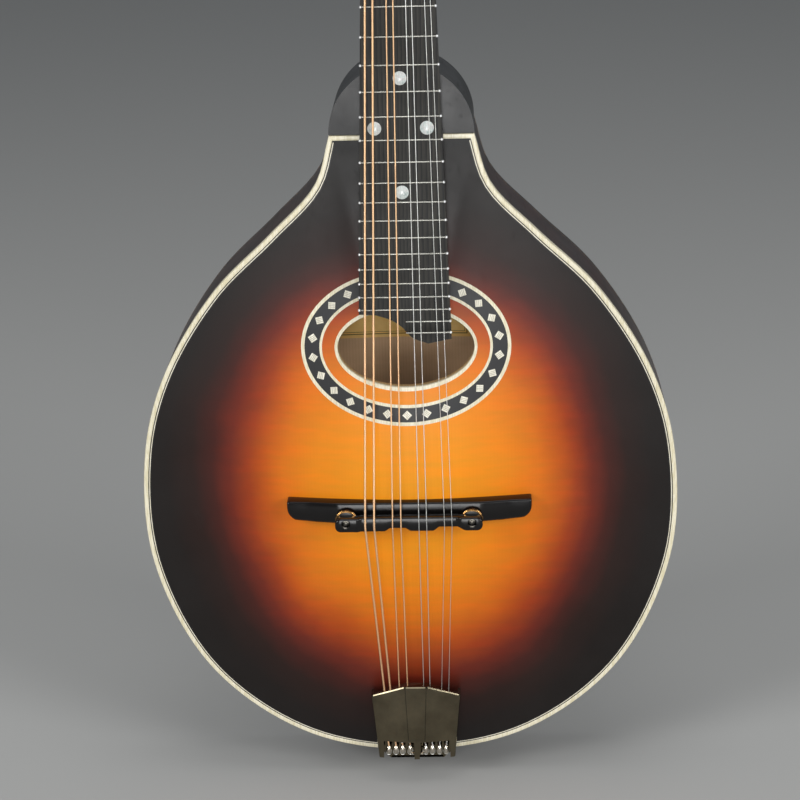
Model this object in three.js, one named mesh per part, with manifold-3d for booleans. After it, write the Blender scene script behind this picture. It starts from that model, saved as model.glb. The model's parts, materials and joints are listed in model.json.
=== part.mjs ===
// A-style mandolin with a carved top and back, an oval soundhole and a
// two-piece adjustable bridge. Millimetres. +Z runs up the neck, the soundboard
// faces -Y and the bass side is -X. The origin is the centre of the end pin's
// outer face, so the instrument stands on its tail in this frame.
import * as THREE from 'three';
import { mergeVertices } from 'three/addons/utils/BufferGeometryUtils.js';
import Module from 'manifold-3d';

const wasm = await Module();
wasm.setup();

// ---------------------------------------------------------------- dimensions
const SCALE_LENGTH = 352.4;      // nut to bridge saddle
const FRET_COUNT = 24;
const RIM_DEPTH = 44;            // front edge to back edge of the body
const FRONT_Y = -RIM_DEPTH / 2;  // plane of the soundboard's edge
const BACK_Y = RIM_DEPTH / 2;    // plane of the back's edge
const TAIL_Z = 12;               // lowest point of the rim, above the end pin's face
const BODY_LENGTH = 308;         // tail to the neck line
const NECK_LINE_Z = TAIL_Z + BODY_LENGTH;
const SADDLE_Z = TAIL_Z + 131;
const NUT_Z = SADDLE_Z + SCALE_LENGTH;
const GAP = 0.3;                 // clearance kept between neighbouring pieces

const RIB_THICKNESS = 2;
const PLATE_EDGE = 3.6;          // thickness of the carved plates at the rim
const PLATE_CROWN = 4.5;         // and at the middle of the arch
const ARCH_HEIGHT = 12;
const ARCH_CENTRE_Z = TAIL_Z + 146;
const BINDING_WIDTH = 2.3;
const BINDING_DEPTH = 4;
const ARCH_RINGS = 6;              // rings of facets from the crown to the edge
const LINING_WIDTH = 5;
const LINING_DEPTH = 8;

const HOLE_Z = SADDLE_Z + 78.2;  // oval soundhole, half width by half height
const HOLE = [31.6, 18.1];
const HOLE_BINDING = [33.1, 20.2];
const ROSETTE_INNER = [39, 26.6];
const ROSETTE_OUTER = [48.75, 36.6];
const INLAY_DEPTH = 1.4;

const NECK_ANGLE = THREE.MathUtils.degToRad(4.5);
const BOARD_Y_AT_JOINT = FRONT_Y - 8;   // playing face above the neck line
const BOARD_THICKNESS = 6;
const BOARD_HALF_AT_NUT = 13.4;
const BOARD_FLARE = 0.0295;             // half-width gained per mm from the nut
const FRET_SLOT = [0.6, 2];             // width and depth
const NECK_THICKNESS = 13;
const HEEL_HEIGHT = 32;                 // arch of the heel's cheeks
const HEEL_CAP = 2;
const NUT_WIDTH = 5;

const HEAD_PITCH = THREE.MathUtils.degToRad(14);
const HEAD_THICKNESS = 13;
const VENEER = 1.5;
const POST_X = 20;
const POST_FIRST = 29;                  // first pair of posts, from the nut
const POST_SPACING = 23;
const POST_RADIUS = 3.1;
const GEAR_RADIUS = 5;
const WORM_RADIUS = 2.2;
const WORM_OFFSET = GEAR_RADIUS + WORM_RADIUS + GAP;
const PLATE_THICKNESS = 1.2;

const TAILPIECE_X = 1;
const STRINGS = [
  // name, radius, x at nut, x at saddle, x at tailpiece lip, x at its hook
  ['g_1', 0.51, -11.8, -20.4, -14.1, -12.9],
  ['g_2', 0.51, -8.8, -16.2, -11.2, -9.4],
  ['d_1', 0.33, -4.0, -7.6, -6.9, -6.1],
  ['d_2', 0.33, -1.5, -3.7, -2.9, -2.4],
  ['a_1', 0.19, 2.8, 4.7, 4.9, 5.1],
  ['a_2', 0.19, 4.9, 8.3, 7.9, 8.4],
  ['e_1', 0.14, 9.5, 16.6, 13.5, 11.9],
  ['e_2', 0.14, 11.6, 20.1, 16.9, 15.2],
];
const STRING_Y_AT_SADDLE = FRONT_Y - 25.4;
const STRING_Y_AT_NUT = FRONT_Y + 4.4;

// ----------------------------------------------------------------- materials
const finish = (color, roughness, metalness = 0) =>
  new THREE.MeshStandardMaterial({ color, roughness, metalness });
const FINISH = {
  sunburst: finish(0xb5651d, 0.45),
  darkMaple: finish(0x1c0f0a, 0.4),
  blackMaple: finish(0x101012, 0.5),
  ebony: finish(0x17161a, 0.45),
  ivoroid: finish(0xe8dfc0, 0.4),
  spruce: finish(0xd8b98a, 0.7),
  nickel: finish(0x8a8378, 0.25, 1),
  steel: finish(0xb8b8ba, 0.3, 1),
  brass: finish(0xc09a50, 0.3, 1),
  bronze: finish(0xc58a5c, 0.35, 1),
  rosette: finish(0x1b1c20, 0.4),
};

// ------------------------------------------------------------ solid geometry
function toSolid(geometry) {
  const clean = geometry.index ? geometry.toNonIndexed() : geometry.clone();
  clean.deleteAttribute('normal');
  clean.deleteAttribute('uv');
  const merged = mergeVertices(clean, 1e-4);
  const mesh = new wasm.Mesh({
    numProp: 3,
    vertProperties: Float32Array.from(merged.attributes.position.array),
    triVerts: Uint32Array.from(merged.index.array),
  });
  return new wasm.Manifold(mesh);
}

function toGeometry(solid) {
  const mesh = solid.getMesh();
  const geometry = new THREE.BufferGeometry();
  geometry.setAttribute('position', new THREE.BufferAttribute(mesh.vertProperties, 3));
  geometry.setIndex(new THREE.BufferAttribute(mesh.triVerts, 1));
  return geometry;
}

const join = (first, ...rest) =>
  toGeometry(rest.reduce((solid, other) => solid.add(toSolid(other)), toSolid(first)));
const cut = (first, ...rest) =>
  toGeometry(rest.reduce((solid, other) => solid.subtract(toSolid(other)), toSolid(first)));
const common = (first, second) => toGeometry(toSolid(first).intersect(toSolid(second)));

// A closed outline of [a, b] pairs, with optional holes, made into a prism.
function prism(outline, depth, holes = []) {
  const shape = new THREE.Shape(outline.map(([a, b]) => new THREE.Vector2(a, b)));
  shape.holes = holes.map((hole) => new THREE.Path(hole.map(([a, b]) => new THREE.Vector2(a, b))));
  return new THREE.ExtrudeGeometry(shape, { depth, bevelEnabled: false });
}

// Outline in X and Z, extruded from y0 to y1.
function prismY(outline, y0, y1, holes = []) {
  return prism(outline, y1 - y0, holes).rotateX(Math.PI / 2).translate(0, y1, 0);
}

// Outline in Y and Z, extruded from x0 to x1.
function prismX(outline, x0, x1) {
  const basis = new THREE.Matrix4().makeBasis(
    new THREE.Vector3(0, 1, 0), new THREE.Vector3(0, 0, 1), new THREE.Vector3(1, 0, 0));
  return prism(outline, x1 - x0).applyMatrix4(basis).translate(x0, 0, 0);
}

// Outline in X and Y, extruded from z0 to z1.
const prismZ = (outline, z0, z1) => prism(outline, z1 - z0).translate(0, 0, z0);

function box(x0, x1, y0, y1, z0, z1) {
  return new THREE.BoxGeometry(x1 - x0, y1 - y0, z1 - z0)
    .translate((x0 + x1) / 2, (y0 + y1) / 2, (z0 + z1) / 2);
}

function ellipse([a, b], centreZ, steps = 40) {
  const curve = new THREE.EllipseCurve(0, centreZ, a, b);
  return curve.getPoints(steps).slice(0, steps).map((p) => [p.x, p.y]);
}

// Profile of [radius, height] pairs turned about +Y; it starts and ends on the axis.
function turned(profile, sides = 12) {
  const points = profile.map(([r, h]) => new THREE.Vector2(r, h));
  return new THREE.LatheGeometry(points, sides);
}
const turnedZ = (profile, sides) => turned(profile, sides).rotateX(Math.PI / 2);
const turnedX = (profile, sides) => turned(profile, sides).rotateZ(-Math.PI / 2);

const rod = (radius, h0, h1) => [[0, h0], [radius, h0], [radius, h1], [0, h1]];

// --------------------------------------------------------------- body shapes
// Half-widths of the body at heights above the tail.
const OUTLINE = [
  [0, 0], [10, 52.8], [45, 98.1], [100, 123.6], [155, 125.4], [195, 114.2],
  [235, 89.2], [262, 61.8], [285, 40.2], [BODY_LENGTH, 33],
];
const HALF_STEPS = 26;
const NECK_LINE_STEPS = 4;

// One side's outline, from the tail's centre to the neck line, set in by an amount.
function sideOutline(inset) {
  const side = OUTLINE.map(([h, w]) => new THREE.Vector3(w, 0, TAIL_Z + h));
  const mirrored = OUTLINE.slice(1).map(([h, w]) => new THREE.Vector3(-w, 0, TAIL_Z + h));
  const curve = new THREE.CatmullRomCurve3([...mirrored.reverse(), ...side], false, 'centripetal');
  const top = NECK_LINE_Z - inset;
  const points = [];
  for (let i = 0; i <= HALF_STEPS; i += 1) {
    const t = 0.5 + (0.5 * i) / HALF_STEPS;
    const p = curve.getPoint(t);
    const tangent = curve.getTangent(t);
    points.push([p.x - tangent.z * inset, p.z + tangent.x * inset]);
  }
  const below = points.filter(([, z]) => z < top - 0.5);
  const [xa, za] = points[below.length - 1];
  const [xb, zb] = points[Math.min(below.length, points.length - 1)];
  const share = zb > za ? (top - za) / (zb - za) : 1;
  below[0][0] = 0;
  return [...below, [xa + (xb - xa) * share, top]];
}

// The whole body outline, anticlockwise in X and Z, starting at the tail.
function bodyOutline(inset) {
  const side = sideOutline(inset);
  const [corner, top] = side[side.length - 1];
  const line = [];
  for (let i = 1; i < NECK_LINE_STEPS; i += 1) {
    line.push([corner * (1 - (2 * i) / NECK_LINE_STEPS), top]);
  }
  const left = side.slice(1).reverse().map(([x, z]) => [-x, z]);
  return [...side, ...line, ...left];
}

const PLATE_INSET = BINDING_WIDTH + GAP;
const PLATE_OUTLINE = bodyOutline(PLATE_INSET);
const BACK_OUTLINE = bodyOutline(0);

// Arch profile: 1 at the crown, 0 at the edge, with a recurve between them.
const swell = (s) => (1 + Math.cos(Math.PI * Math.min(s, 1))) / 2;

// The arch's contours are round at the crown and take the outline's shape at the edge.
const CROWN_HALF = [112, 132];
function contour([x, z], s) {
  const dz = z - ARCH_CENTRE_Z;
  const round = 1 / Math.hypot(x / CROWN_HALF[0], dz / CROWN_HALF[1]);
  const stretch = s * (round + (1 - round) * s * s);
  return [x * stretch, ARCH_CENTRE_Z + dz * stretch];
}

// A carved plate: a lathe disc whose rings are stretched to the outline and
// whose two faces are lifted by the arch. side is -1 for the top, +1 for the back.
function carvedPlate(outline, rings, side, edgeY, outer, inner) {
  const profile = [];
  for (let i = 0; i <= rings; i += 1) profile.push([i / rings, 0]);
  for (let i = rings; i >= 0; i -= 1) profile.push([i / rings, 1]);
  const geometry = turned(profile, outline.length);
  const position = geometry.attributes.position;
  for (let v = 0; v < position.count; v += 1) {
    const edge = outline[Math.floor(v / profile.length) % outline.length];
    const [s, level] = profile[v % profile.length];
    const [x, z] = contour(edge, s);
    position.setXYZ(v, x, edgeY + side * (level === 0 ? outer(s) : inner(s)), z);
  }
  const closed = mergeVertices(stripToPositions(geometry), 1e-4);
  return outwards(closed);
}

function stripToPositions(geometry) {
  geometry.deleteAttribute('normal');
  geometry.deleteAttribute('uv');
  return geometry;
}

// Faces turned outwards, judged by the signed volume.
function outwards(geometry) {
  const p = geometry.attributes.position;
  const index = geometry.index.array;
  const corner = [new THREE.Vector3(), new THREE.Vector3(), new THREE.Vector3()];
  const keep = [];
  let volume = 0;
  for (let i = 0; i < index.length; i += 3) {
    const [a, b, c] = [index[i], index[i + 1], index[i + 2]];
    if (a === b || b === c || a === c) continue;
    corner.forEach((v, k) => v.fromBufferAttribute(p, [a, b, c][k]));
    volume += corner[0].dot(corner[1].clone().cross(corner[2]));
    keep.push([a, b, c]);
  }
  const order = volume < 0 ? ([a, b, c]) => [a, c, b] : (t) => t;
  geometry.setIndex(keep.flatMap(order));
  return geometry;
}

const crownGain = PLATE_CROWN - PLATE_EDGE;
const innerFace = (s) => (ARCH_HEIGHT - crownGain) * swell(s) - PLATE_EDGE;

function soundboard() {
  const plate = carvedPlate(PLATE_OUTLINE, ARCH_RINGS, -1, FRONT_Y, (s) => ARCH_HEIGHT * swell(s), innerFace);
  const grow = ([a, b], by) => [a + by, b + by];
  const hole = prismY(ellipse(grow(HOLE_BINDING, GAP), HOLE_Z), -50, 0);
  const channel = common(
    prismY(ellipse(grow(ROSETTE_OUTER, GAP), HOLE_Z), -50, 0, [ellipse(grow(ROSETTE_INNER, -GAP), HOLE_Z)]),
    topSkin(INLAY_DEPTH + GAP, 5));
  return cut(plate, hole, channel);
}

// The layer of the top from a depth below its face to a height above it.
function topSkin(depth, height) {
  const above = (s) => ARCH_HEIGHT * swell(s) + height;
  const below = (s) => ARCH_HEIGHT * swell(s) - depth;
  return carvedPlate(PLATE_OUTLINE, ARCH_RINGS, -1, FRONT_Y, above, below);
}

function rosette() {
  const ring = prismY(ellipse(ROSETTE_OUTER, HOLE_Z), -50, 0, [ellipse(ROSETTE_INNER, HOLE_Z)]);
  return common(ring, topSkin(INLAY_DEPTH, 0));
}

function holeBinding() {
  const ring = prismY(ellipse(HOLE_BINDING, HOLE_Z), -50, 0, [ellipse(HOLE, HOLE_Z)]);
  return common(ring, topSkin(PLATE_EDGE + 0.4, 0));
}

function backPlate() {
  return carvedPlate(BACK_OUTLINE, ARCH_RINGS, 1, BACK_Y, (s) => ARCH_HEIGHT * swell(s), innerFace);
}

function binding() {
  const inner = bodyOutline(BINDING_WIDTH);
  return prismY(bodyOutline(0), FRONT_Y, FRONT_Y + BINDING_DEPTH, [inner]);
}

// A strip along one side of the body between two insets; side is -1 or +1.
function sideStrip(side, outer, inner, y0, y1, z0 = 0, z1 = NECK_LINE_Z - GAP) {
  const gap = GAP / 2;
  const keep = ([x, z]) => [Math.max(x, gap), z];
  const strip = [...sideOutline(outer).map(keep), ...sideOutline(inner).map(keep).reverse()];
  const placed = strip.map(([x, z]) => [side * x, z]);
  if (side < 0) placed.reverse();
  return common(prismY(placed, y0, y1), box(-200, 200, y0 - 1, y1 + 1, z0, z1));
}

const RIB_Y = [FRONT_Y + BINDING_DEPTH + GAP, BACK_Y - PLATE_EDGE - GAP];
const HEAD_BLOCK_Z = NECK_LINE_Z - 42;
const TAIL_BLOCK_Z = TAIL_Z + RIB_THICKNESS + 22;
const PIN_BORE = 4;
const SCREW_BORE = 1.3;
const SCREW_PLACES = [[-8, -14], [8, -14], [0, 12]];   // x and y on the tail plate

const bore = (radius, x, y, z0, z1) => turnedZ(rod(radius, z0, z1), 12).translate(x, y, 0);

function tailBores() {
  const screws = SCREW_PLACES.map(([x, y]) => bore(SCREW_BORE, x + TAILPIECE_X, y, -5, TAIL_Z + 14));
  return [bore(PIN_BORE, 0, 0, -5, 60), ...screws];
}

function rib(side) {
  return cut(sideStrip(side, 0, RIB_THICKNESS, ...RIB_Y), ...tailBores());
}

function lining(side, y0) {
  const from = RIB_THICKNESS + GAP;
  return sideStrip(side, from, from + LINING_WIDTH, y0, y0 + LINING_DEPTH,
    TAIL_BLOCK_Z + GAP, HEAD_BLOCK_Z - GAP);
}

// A block that fills the inside of the rim between two heights.
function rimBlock(z0, z1) {
  const inside = prismY(bodyOutline(RIB_THICKNESS + GAP), ...BLOCK_Y);
  return common(inside, box(-60, 60, BLOCK_Y[0], BLOCK_Y[1], z0, z1));
}
const BLOCK_Y = [FRONT_Y + PLATE_EDGE + 1, BACK_Y - PLATE_EDGE - 1];

const TENON = { half: 11, y0: FRONT_Y + 7, y1: BACK_Y - 8, depth: 28 };

function headBlock() {
  const { half, y0, y1, depth } = TENON;
  const mortise = box(-half - GAP, half + GAP, y0 - GAP, y1 + GAP, NECK_LINE_Z - depth - GAP, 400);
  return cut(rimBlock(HEAD_BLOCK_Z, NECK_LINE_Z - 2 * GAP), mortise);
}

const tailBlock = () => cut(rimBlock(0, TAIL_BLOCK_Z), ...tailBores());

function crossBrace() {
  const z = HOLE_Z - HOLE_BINDING[1] - 12;
  const bar = box(-72, 72, -50, FRONT_Y + 6, z - 3, z + 3);
  const clear = carvedPlate(PLATE_OUTLINE, ARCH_RINGS, -1, FRONT_Y, () => 40, (s) => innerFace(s) - GAP);
  const ends = [-1, 1].map((side) => prismY(
    [[side * 40, z - 9], [side * 40, z + 9], [side * 80, z + 9], [side * 80, z - 9]]
      .slice()[side > 0 ? 'reverse' : 'slice'](), FRONT_Y + 2, FRONT_Y + 9));
  return cut(bar, clear, ...ends);
}

// ---------------------------------------------------------- neck and its parts
// Everything on the neck follows the board's plane, which leans back by the
// neck angle: a depth below the board becomes a Y that depends on Z.
const boardY = (z) => BOARD_Y_AT_JOINT + Math.tan(NECK_ANGLE) * (z - NECK_LINE_Z);
const boardHalf = (z) => BOARD_HALF_AT_NUT + BOARD_FLARE * (NUT_Z - z);

function lean(geometry) {
  const p = geometry.attributes.position;
  for (let i = 0; i < p.count; i += 1) p.setY(i, p.getY(i) + boardY(p.getZ(i)));
  return geometry;
}

const fretZ = (n) => SADDLE_Z + SCALE_LENGTH * 2 ** (-n / 12);

// The board's end: short on the bass side, with a scoop down to the last fret.
const SCOOP = [[-13.1, 96.4], [-6.6, 94.2], [-1.6, 91], [3.4, 85.7], [10.6, 82.9]];
const BOARD_END_BASS_Z = SADDLE_Z + 96.8;
const BOARD_END_TREBLE_Z = SADDLE_Z + 85;

function boardOutline() {
  const scoop = new THREE.CatmullRomCurve3(
    SCOOP.map(([x, h]) => new THREE.Vector3(x, 0, SADDLE_Z + h)), false, 'centripetal');
  return [
    [-boardHalf(BOARD_END_BASS_Z), BOARD_END_BASS_Z],
    ...scoop.getPoints(20).map((p) => [p.x, p.z]),
    [boardHalf(BOARD_END_TREBLE_Z), BOARD_END_TREBLE_Z],
    [BOARD_HALF_AT_NUT, NUT_Z - GAP],
    [-BOARD_HALF_AT_NUT, NUT_Z - GAP],
  ];
}

function fingerboard() {
  const board = prismY(boardOutline(), 0, BOARD_THICKNESS);
  const [width, depth] = FRET_SLOT;
  const slots = [];
  for (let n = 1; n <= FRET_COUNT; n += 1) {
    const short = n > FRET_COUNT - 2;
    slots.push(box(short ? 0 : -30, 30, -1, depth, fretZ(n) - width / 2, fretZ(n) + width / 2));
  }
  return lean(cut(board, ...slots));
}

// The neck's shaft: a half-ellipse under the board, widened towards the body.
function neckShaft() {
  const top = BOARD_THICKNESS + GAP;
  const arc = new THREE.EllipseCurve(0, top, 1, NECK_THICKNESS - 2, 0, Math.PI).getPoints(22);
  const section = [...arc.map((p) => [p.x, p.y])];
  const z0 = NECK_LINE_Z + GAP;
  const shape = new THREE.Shape(section.map(([x, y]) => new THREE.Vector2(x, y)));
  const shaft = new THREE.ExtrudeGeometry(shape,
    { depth: NUT_Z + NUT_WIDTH - z0, steps: 6, bevelEnabled: false }).translate(0, 0, z0);
  const p = shaft.attributes.position;
  for (let i = 0; i < p.count; i += 1) p.setX(i, p.getX(i) * boardHalf(p.getZ(i)));
  return lean(shaft);
}

// The heel: two cheeks that carry the body's sides round to the neck in an arch.
function heelOutline() {
  const arch = new THREE.EllipseCurve(0, NECK_LINE_Z + GAP, 33, HEEL_HEIGHT, 0, Math.PI);
  return arch.getPoints(40).map((p) => [p.x, p.y]);
}

const heel = () => prismY(heelOutline(), FRONT_Y, BACK_Y - HEEL_CAP - GAP);
const heelCap = () => prismY(heelOutline(), BACK_Y - HEEL_CAP, BACK_Y);

// The neck's tongue over the soundboard, under the board's extension.
function tongue() {
  const z0 = SADDLE_Z + 100;
  const half = boardHalf(z0) - 2;
  const slab = lean(prismY([[-half, z0], [half, z0], [half, NECK_LINE_Z + 2], [-half, NECK_LINE_Z + 2]],
    BOARD_THICKNESS + GAP, 30));
  const under = prismY([[-60, 0], [60, 0], [60, NECK_LINE_Z + GAP], [-60, NECK_LINE_Z + GAP]], FRONT_Y - GAP, 80);
  return cut(slab, topSkin(30, GAP), under);
}

const HEAD_ORIGIN = new THREE.Vector3(0, boardY(NUT_Z) + BOARD_THICKNESS - 1.2, NUT_Z + NUT_WIDTH + GAP);
const HEAD_MATRIX = new THREE.Matrix4()
  .makeRotationX(-HEAD_PITCH).setPosition(HEAD_ORIGIN);

// Head outline from the nut upwards: half-widths at distances along the head.
const HEAD_OUTLINE = [[-7, 13.4], [1, 14.8], [9, 22], [18, 28.4], [36, 29.4], [70, 30], [105, 30.8], [125, 31.6]];
const HEAD_CREST = [[26, 129.6], [18, 129], [10, 130], [5, 132.6], [0, 134]];

function headOutline(inset = 0) {
  const side = new THREE.SplineCurve(HEAD_OUTLINE.map(([h, w]) => new THREE.Vector2(w - inset, h)));
  const right = side.getPoints(24).map((p) => [p.x, p.y]);
  const crest = HEAD_CREST.map(([x, h]) => [x, h - inset]);
  const mirrored = crest.slice(0, -1).reverse().map(([x, h]) => [-x, h]);
  return [...right, ...crest, ...mirrored, ...right.slice().reverse().map(([x, h]) => [-x, h])];
}

const postHeights = [0, 1, 2, 3].map((i) => POST_FIRST + POST_SPACING * i);
const TRUSS = { y: 5, pocketTop: 26, half: 4.2 };
const VOLUTE_SIZE = [12.6, 12.5, 16];        // half sizes of the swelling behind the nut

function postBores(radius) {
  return postHeights.flatMap((h) => [-POST_X, POST_X]
    .map((x) => turned(rod(radius, -40, 40), 12).translate(x, 0, h)));
}

function neck() {
  const head = cut(prismY(headOutline(), VENEER + GAP, VENEER + HEAD_THICKNESS),
    ...postBores(4.3),
    box(-TRUSS.half, TRUSS.half, -5, 10, -10, TRUSS.pocketTop)).applyMatrix4(HEAD_MATRIX);
  const boardBack = boardY(NUT_Z) + BOARD_THICKNESS + GAP;
  const volute = common(
    new THREE.SphereGeometry(1, 20, 14).scale(...VOLUTE_SIZE).translate(0, boardBack + 3.7, NUT_Z + 1),
    box(-40, 40, boardBack, boardBack + 40, NUT_Z - 40, NUT_Z + 40));
  const { half, y0, y1, depth } = TENON;
  const tenon = box(-half, half, y0, y1, NECK_LINE_Z - depth, NECK_LINE_Z + 2);
  const raw = join(neckShaft(), heel(), tongue(), tenon, volute, head);
  return cut(raw, trussChannel(), boardClearance(), nutClearance(), veneerClearance());
}

// Room for the board and the nut, which sit on the neck with a small gap.
const boardClearance = () => lean(prismY(
  [[-40, SADDLE_Z], [40, SADDLE_Z], [40, NUT_Z], [-40, NUT_Z]], -30, BOARD_THICKNESS + GAP));
const nutClearance = () => box(-30, 30, -80, boardY(NUT_Z) + BOARD_THICKNESS + GAP,
  NUT_Z - 0.1, NUT_Z + NUT_WIDTH + GAP);

const veneerClearance = () => box(-40, 40, -40, VENEER + GAP, -GAP, 150).applyMatrix4(HEAD_MATRIX);

const TRUSS_TOP = BOARD_THICKNESS + 1;   // top of the channel below the board's face
const trussChannel = () => lean(prismY(
  [[-3, NECK_LINE_Z + 8], [3, NECK_LINE_Z + 8], [3, NUT_Z + 14], [-3, NUT_Z + 14]],
  BOARD_THICKNESS - 1, TRUSS_TOP + 6));

function trussRod() {
  const z0 = NECK_LINE_Z + 9;
  const bar = new THREE.ExtrudeGeometry(circleShape(2.2, 10), { depth: NUT_Z - z0, bevelEnabled: false })
    .translate(0, TRUSS_TOP + 2.6, z0);
  return lean(bar);
}

const circleShape = (radius, sides) => new THREE.Shape(
  new THREE.EllipseCurve(0, 0, radius, radius).getPoints(sides).slice(0, sides));

const TRUSS_NUT = { z0: NUT_Z + GAP, length: 9, radius: 2.6 };
const trussNutY = boardY(NUT_Z) + TRUSS_TOP + 2.6;

const trussNut = () => new THREE.ExtrudeGeometry(circleShape(TRUSS_NUT.radius, 6),
  { depth: TRUSS_NUT.length, bevelEnabled: false }).translate(0, trussNutY, TRUSS_NUT.z0);

function nut() {
  const bottom = boardY(NUT_Z) + BOARD_THICKNESS;
  const block = box(-13.4, 13.4, STRING_Y_AT_NUT - 0.3, bottom, NUT_Z, NUT_Z + NUT_WIDTH);
  const slots = STRINGS.map(([, r, x]) =>
    box(x - r - GAP, x + r + GAP, -40, STRING_Y_AT_NUT + r + GAP, NUT_Z - 1, NUT_Z + NUT_WIDTH + 1));
  return cut(block, ...slots);
}

function veneer() {
  return cut(prismY(headOutline(0.2), 0, VENEER), box(-40, 40, -5, 5, -20, 0), ...postBores(4.3),
    box(-TRUSS.half, TRUSS.half, -5, 10, -10, TRUSS.pocketTop));
}

const trussCover = () => prismY(
  [[-7, 3], [7, 3], [8.5, 12], [6, 24], [0, 33], [-6, 24], [-8.5, 12]], -2, -GAP);

// ------------------------------------------------------------------- tuners
const PLATE_BACK = VENEER + HEAD_THICKNESS + GAP;
const GEAR_Y = [PLATE_BACK + PLATE_THICKNESS + 1.1, PLATE_BACK + PLATE_THICKNESS + 4.1];
const WORM_Y = (GEAR_Y[0] + GEAR_Y[1]) / 2;
const LUG_OUT = 6.6;                     // lug's inner face from the post line

function tunerPlate(side) {
  const x0 = side * (POST_X - 8);
  const x1 = side * (POST_X + 8.4);
  const [low, high] = [Math.min(x0, x1), Math.max(x0, x1)];
  const sheet = cut(box(low, high, PLATE_BACK, PLATE_BACK + PLATE_THICKNESS,
    POST_FIRST - 10, POST_FIRST + 3 * POST_SPACING + 14), ...postBores(POST_RADIUS + GAP));
  const lugs = postHeights.flatMap((h) => [-1, 1].map((end) => {
    const x = side * POST_X + end * LUG_OUT;
    const far = x + end * 1.6;
    return box(Math.min(x, far), Math.max(x, far), PLATE_BACK + 0.5, WORM_Y + 3,
      h + WORM_OFFSET - 2.6, h + WORM_OFFSET + 2.6);
  }));
  const shaftBores = postHeights.map((h) => turnedX(rod(1.5 + GAP + 0.1, -60, 60), 8)
    .translate(0, WORM_Y, h + WORM_OFFSET));
  return cut(join(sheet, ...lugs), ...shaftBores);
}

const POST_TOP = -12;
const WIND_Y = [-8.2, -3.6];             // waist that takes the string

function tunerPost() {
  const [g0, g1] = GEAR_Y;
  return turned([
    [0, POST_TOP], [2.6, POST_TOP], [POST_RADIUS, POST_TOP + 0.6], [POST_RADIUS, WIND_Y[0]],
    [2.5, WIND_Y[0] + 0.8], [2.5, WIND_Y[1] - 0.8], [POST_RADIUS, WIND_Y[1]],
    [POST_RADIUS, g0], [GEAR_RADIUS, g0], [GEAR_RADIUS, g1], [1.9, g1], [1.9, g1 + 1], [0, g1 + 1],
  ]);
}

const BUTTON = { from: 15.5, length: 13, half: 6.5, thickness: 3.6 };

function wormShaft(side) {
  const profile = [
    [0, -9.5], [1.5, -9.5], [1.5, -LUG_OUT + 0.9], [WORM_RADIUS, -LUG_OUT + 1.4],
    [WORM_RADIUS, LUG_OUT - 1.4], [1.5, LUG_OUT - 0.9], [1.5, 11], [2.4, 11.4],
    [2.4, BUTTON.from], [0, BUTTON.from],
  ];
  const shaft = turnedX(profile, 10);
  const button = new THREE.SphereGeometry(1, 10, 6)
    .scale(BUTTON.length / 2, BUTTON.thickness, BUTTON.half)
    .translate(BUTTON.from + BUTTON.length / 2 - 0.8, 0, 0);
  const whole = join(shaft, button);
  return side < 0 ? whole.rotateY(Math.PI) : whole;
}

// -------------------------------------------------------------- bridge pieces
const WHEEL_X = 29.4;
const WHEEL = { radius: 5.2, thickness: 2, z: SADDLE_Z - 1.6 };
const BASE_TOP_Y = FRONT_Y - 16.4;
const WHEEL_Y = [BASE_TOP_Y - GAP - 2 - WHEEL.thickness, BASE_TOP_Y - GAP - 2];
const SADDLE_FOOT_Y = WHEEL_Y[0] - GAP;
const BRIDGE_POST = 1.7;

function bridgeBase() {
  const wing = [
    [-57.5, -24], [-57.5, -13.2], [-46, -14.6], [-37.5, -16], [-34, -16.4],
    [34, -16.4], [37.5, -16], [46, -14.6], [57.5, -13.2], [57.5, -24],
  ];
  const heights = [[-57.5, 20], ...wing.slice(1, -1).map(([x, y]) => [x, y]), [57.5, 20]];
  const front = prismZ(heights.map(([x, y]) => [x, y > 0 ? 0 : FRONT_Y + y]).reverse(),
    SADDLE_Z - 5, SADDLE_Z + 5.5);
  const plan = prismY([
    [-57.5, SADDLE_Z - 2], [-53, SADDLE_Z - 4], [-38, SADDLE_Z - 5], [38, SADDLE_Z - 5],
    [53, SADDLE_Z - 4], [57.5, SADDLE_Z - 2], [57.5, SADDLE_Z + 5.5], [-57.5, SADDLE_Z + 5.5],
  ], -60, 0);
  const posts = [-WHEEL_X, WHEEL_X].map((x) =>
    turned(rod(BRIDGE_POST + GAP, BASE_TOP_Y - 5, BASE_TOP_Y + 3.4), 16).translate(x, 0, WHEEL.z));
  return cut(common(front, plan), topSkin(60, GAP), ...posts);
}

const bridgePost = () => turned(rod(BRIDGE_POST, BASE_TOP_Y - 7.6, BASE_TOP_Y + 3), 16);

function thumbwheel() {
  const [y0, y1] = WHEEL_Y;
  const disc = turned(rod(WHEEL.radius, y0, y1), 24);
  return cut(disc, turned(rod(BRIDGE_POST + GAP, y0 - 1, y1 + 1), 16));
}

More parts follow.
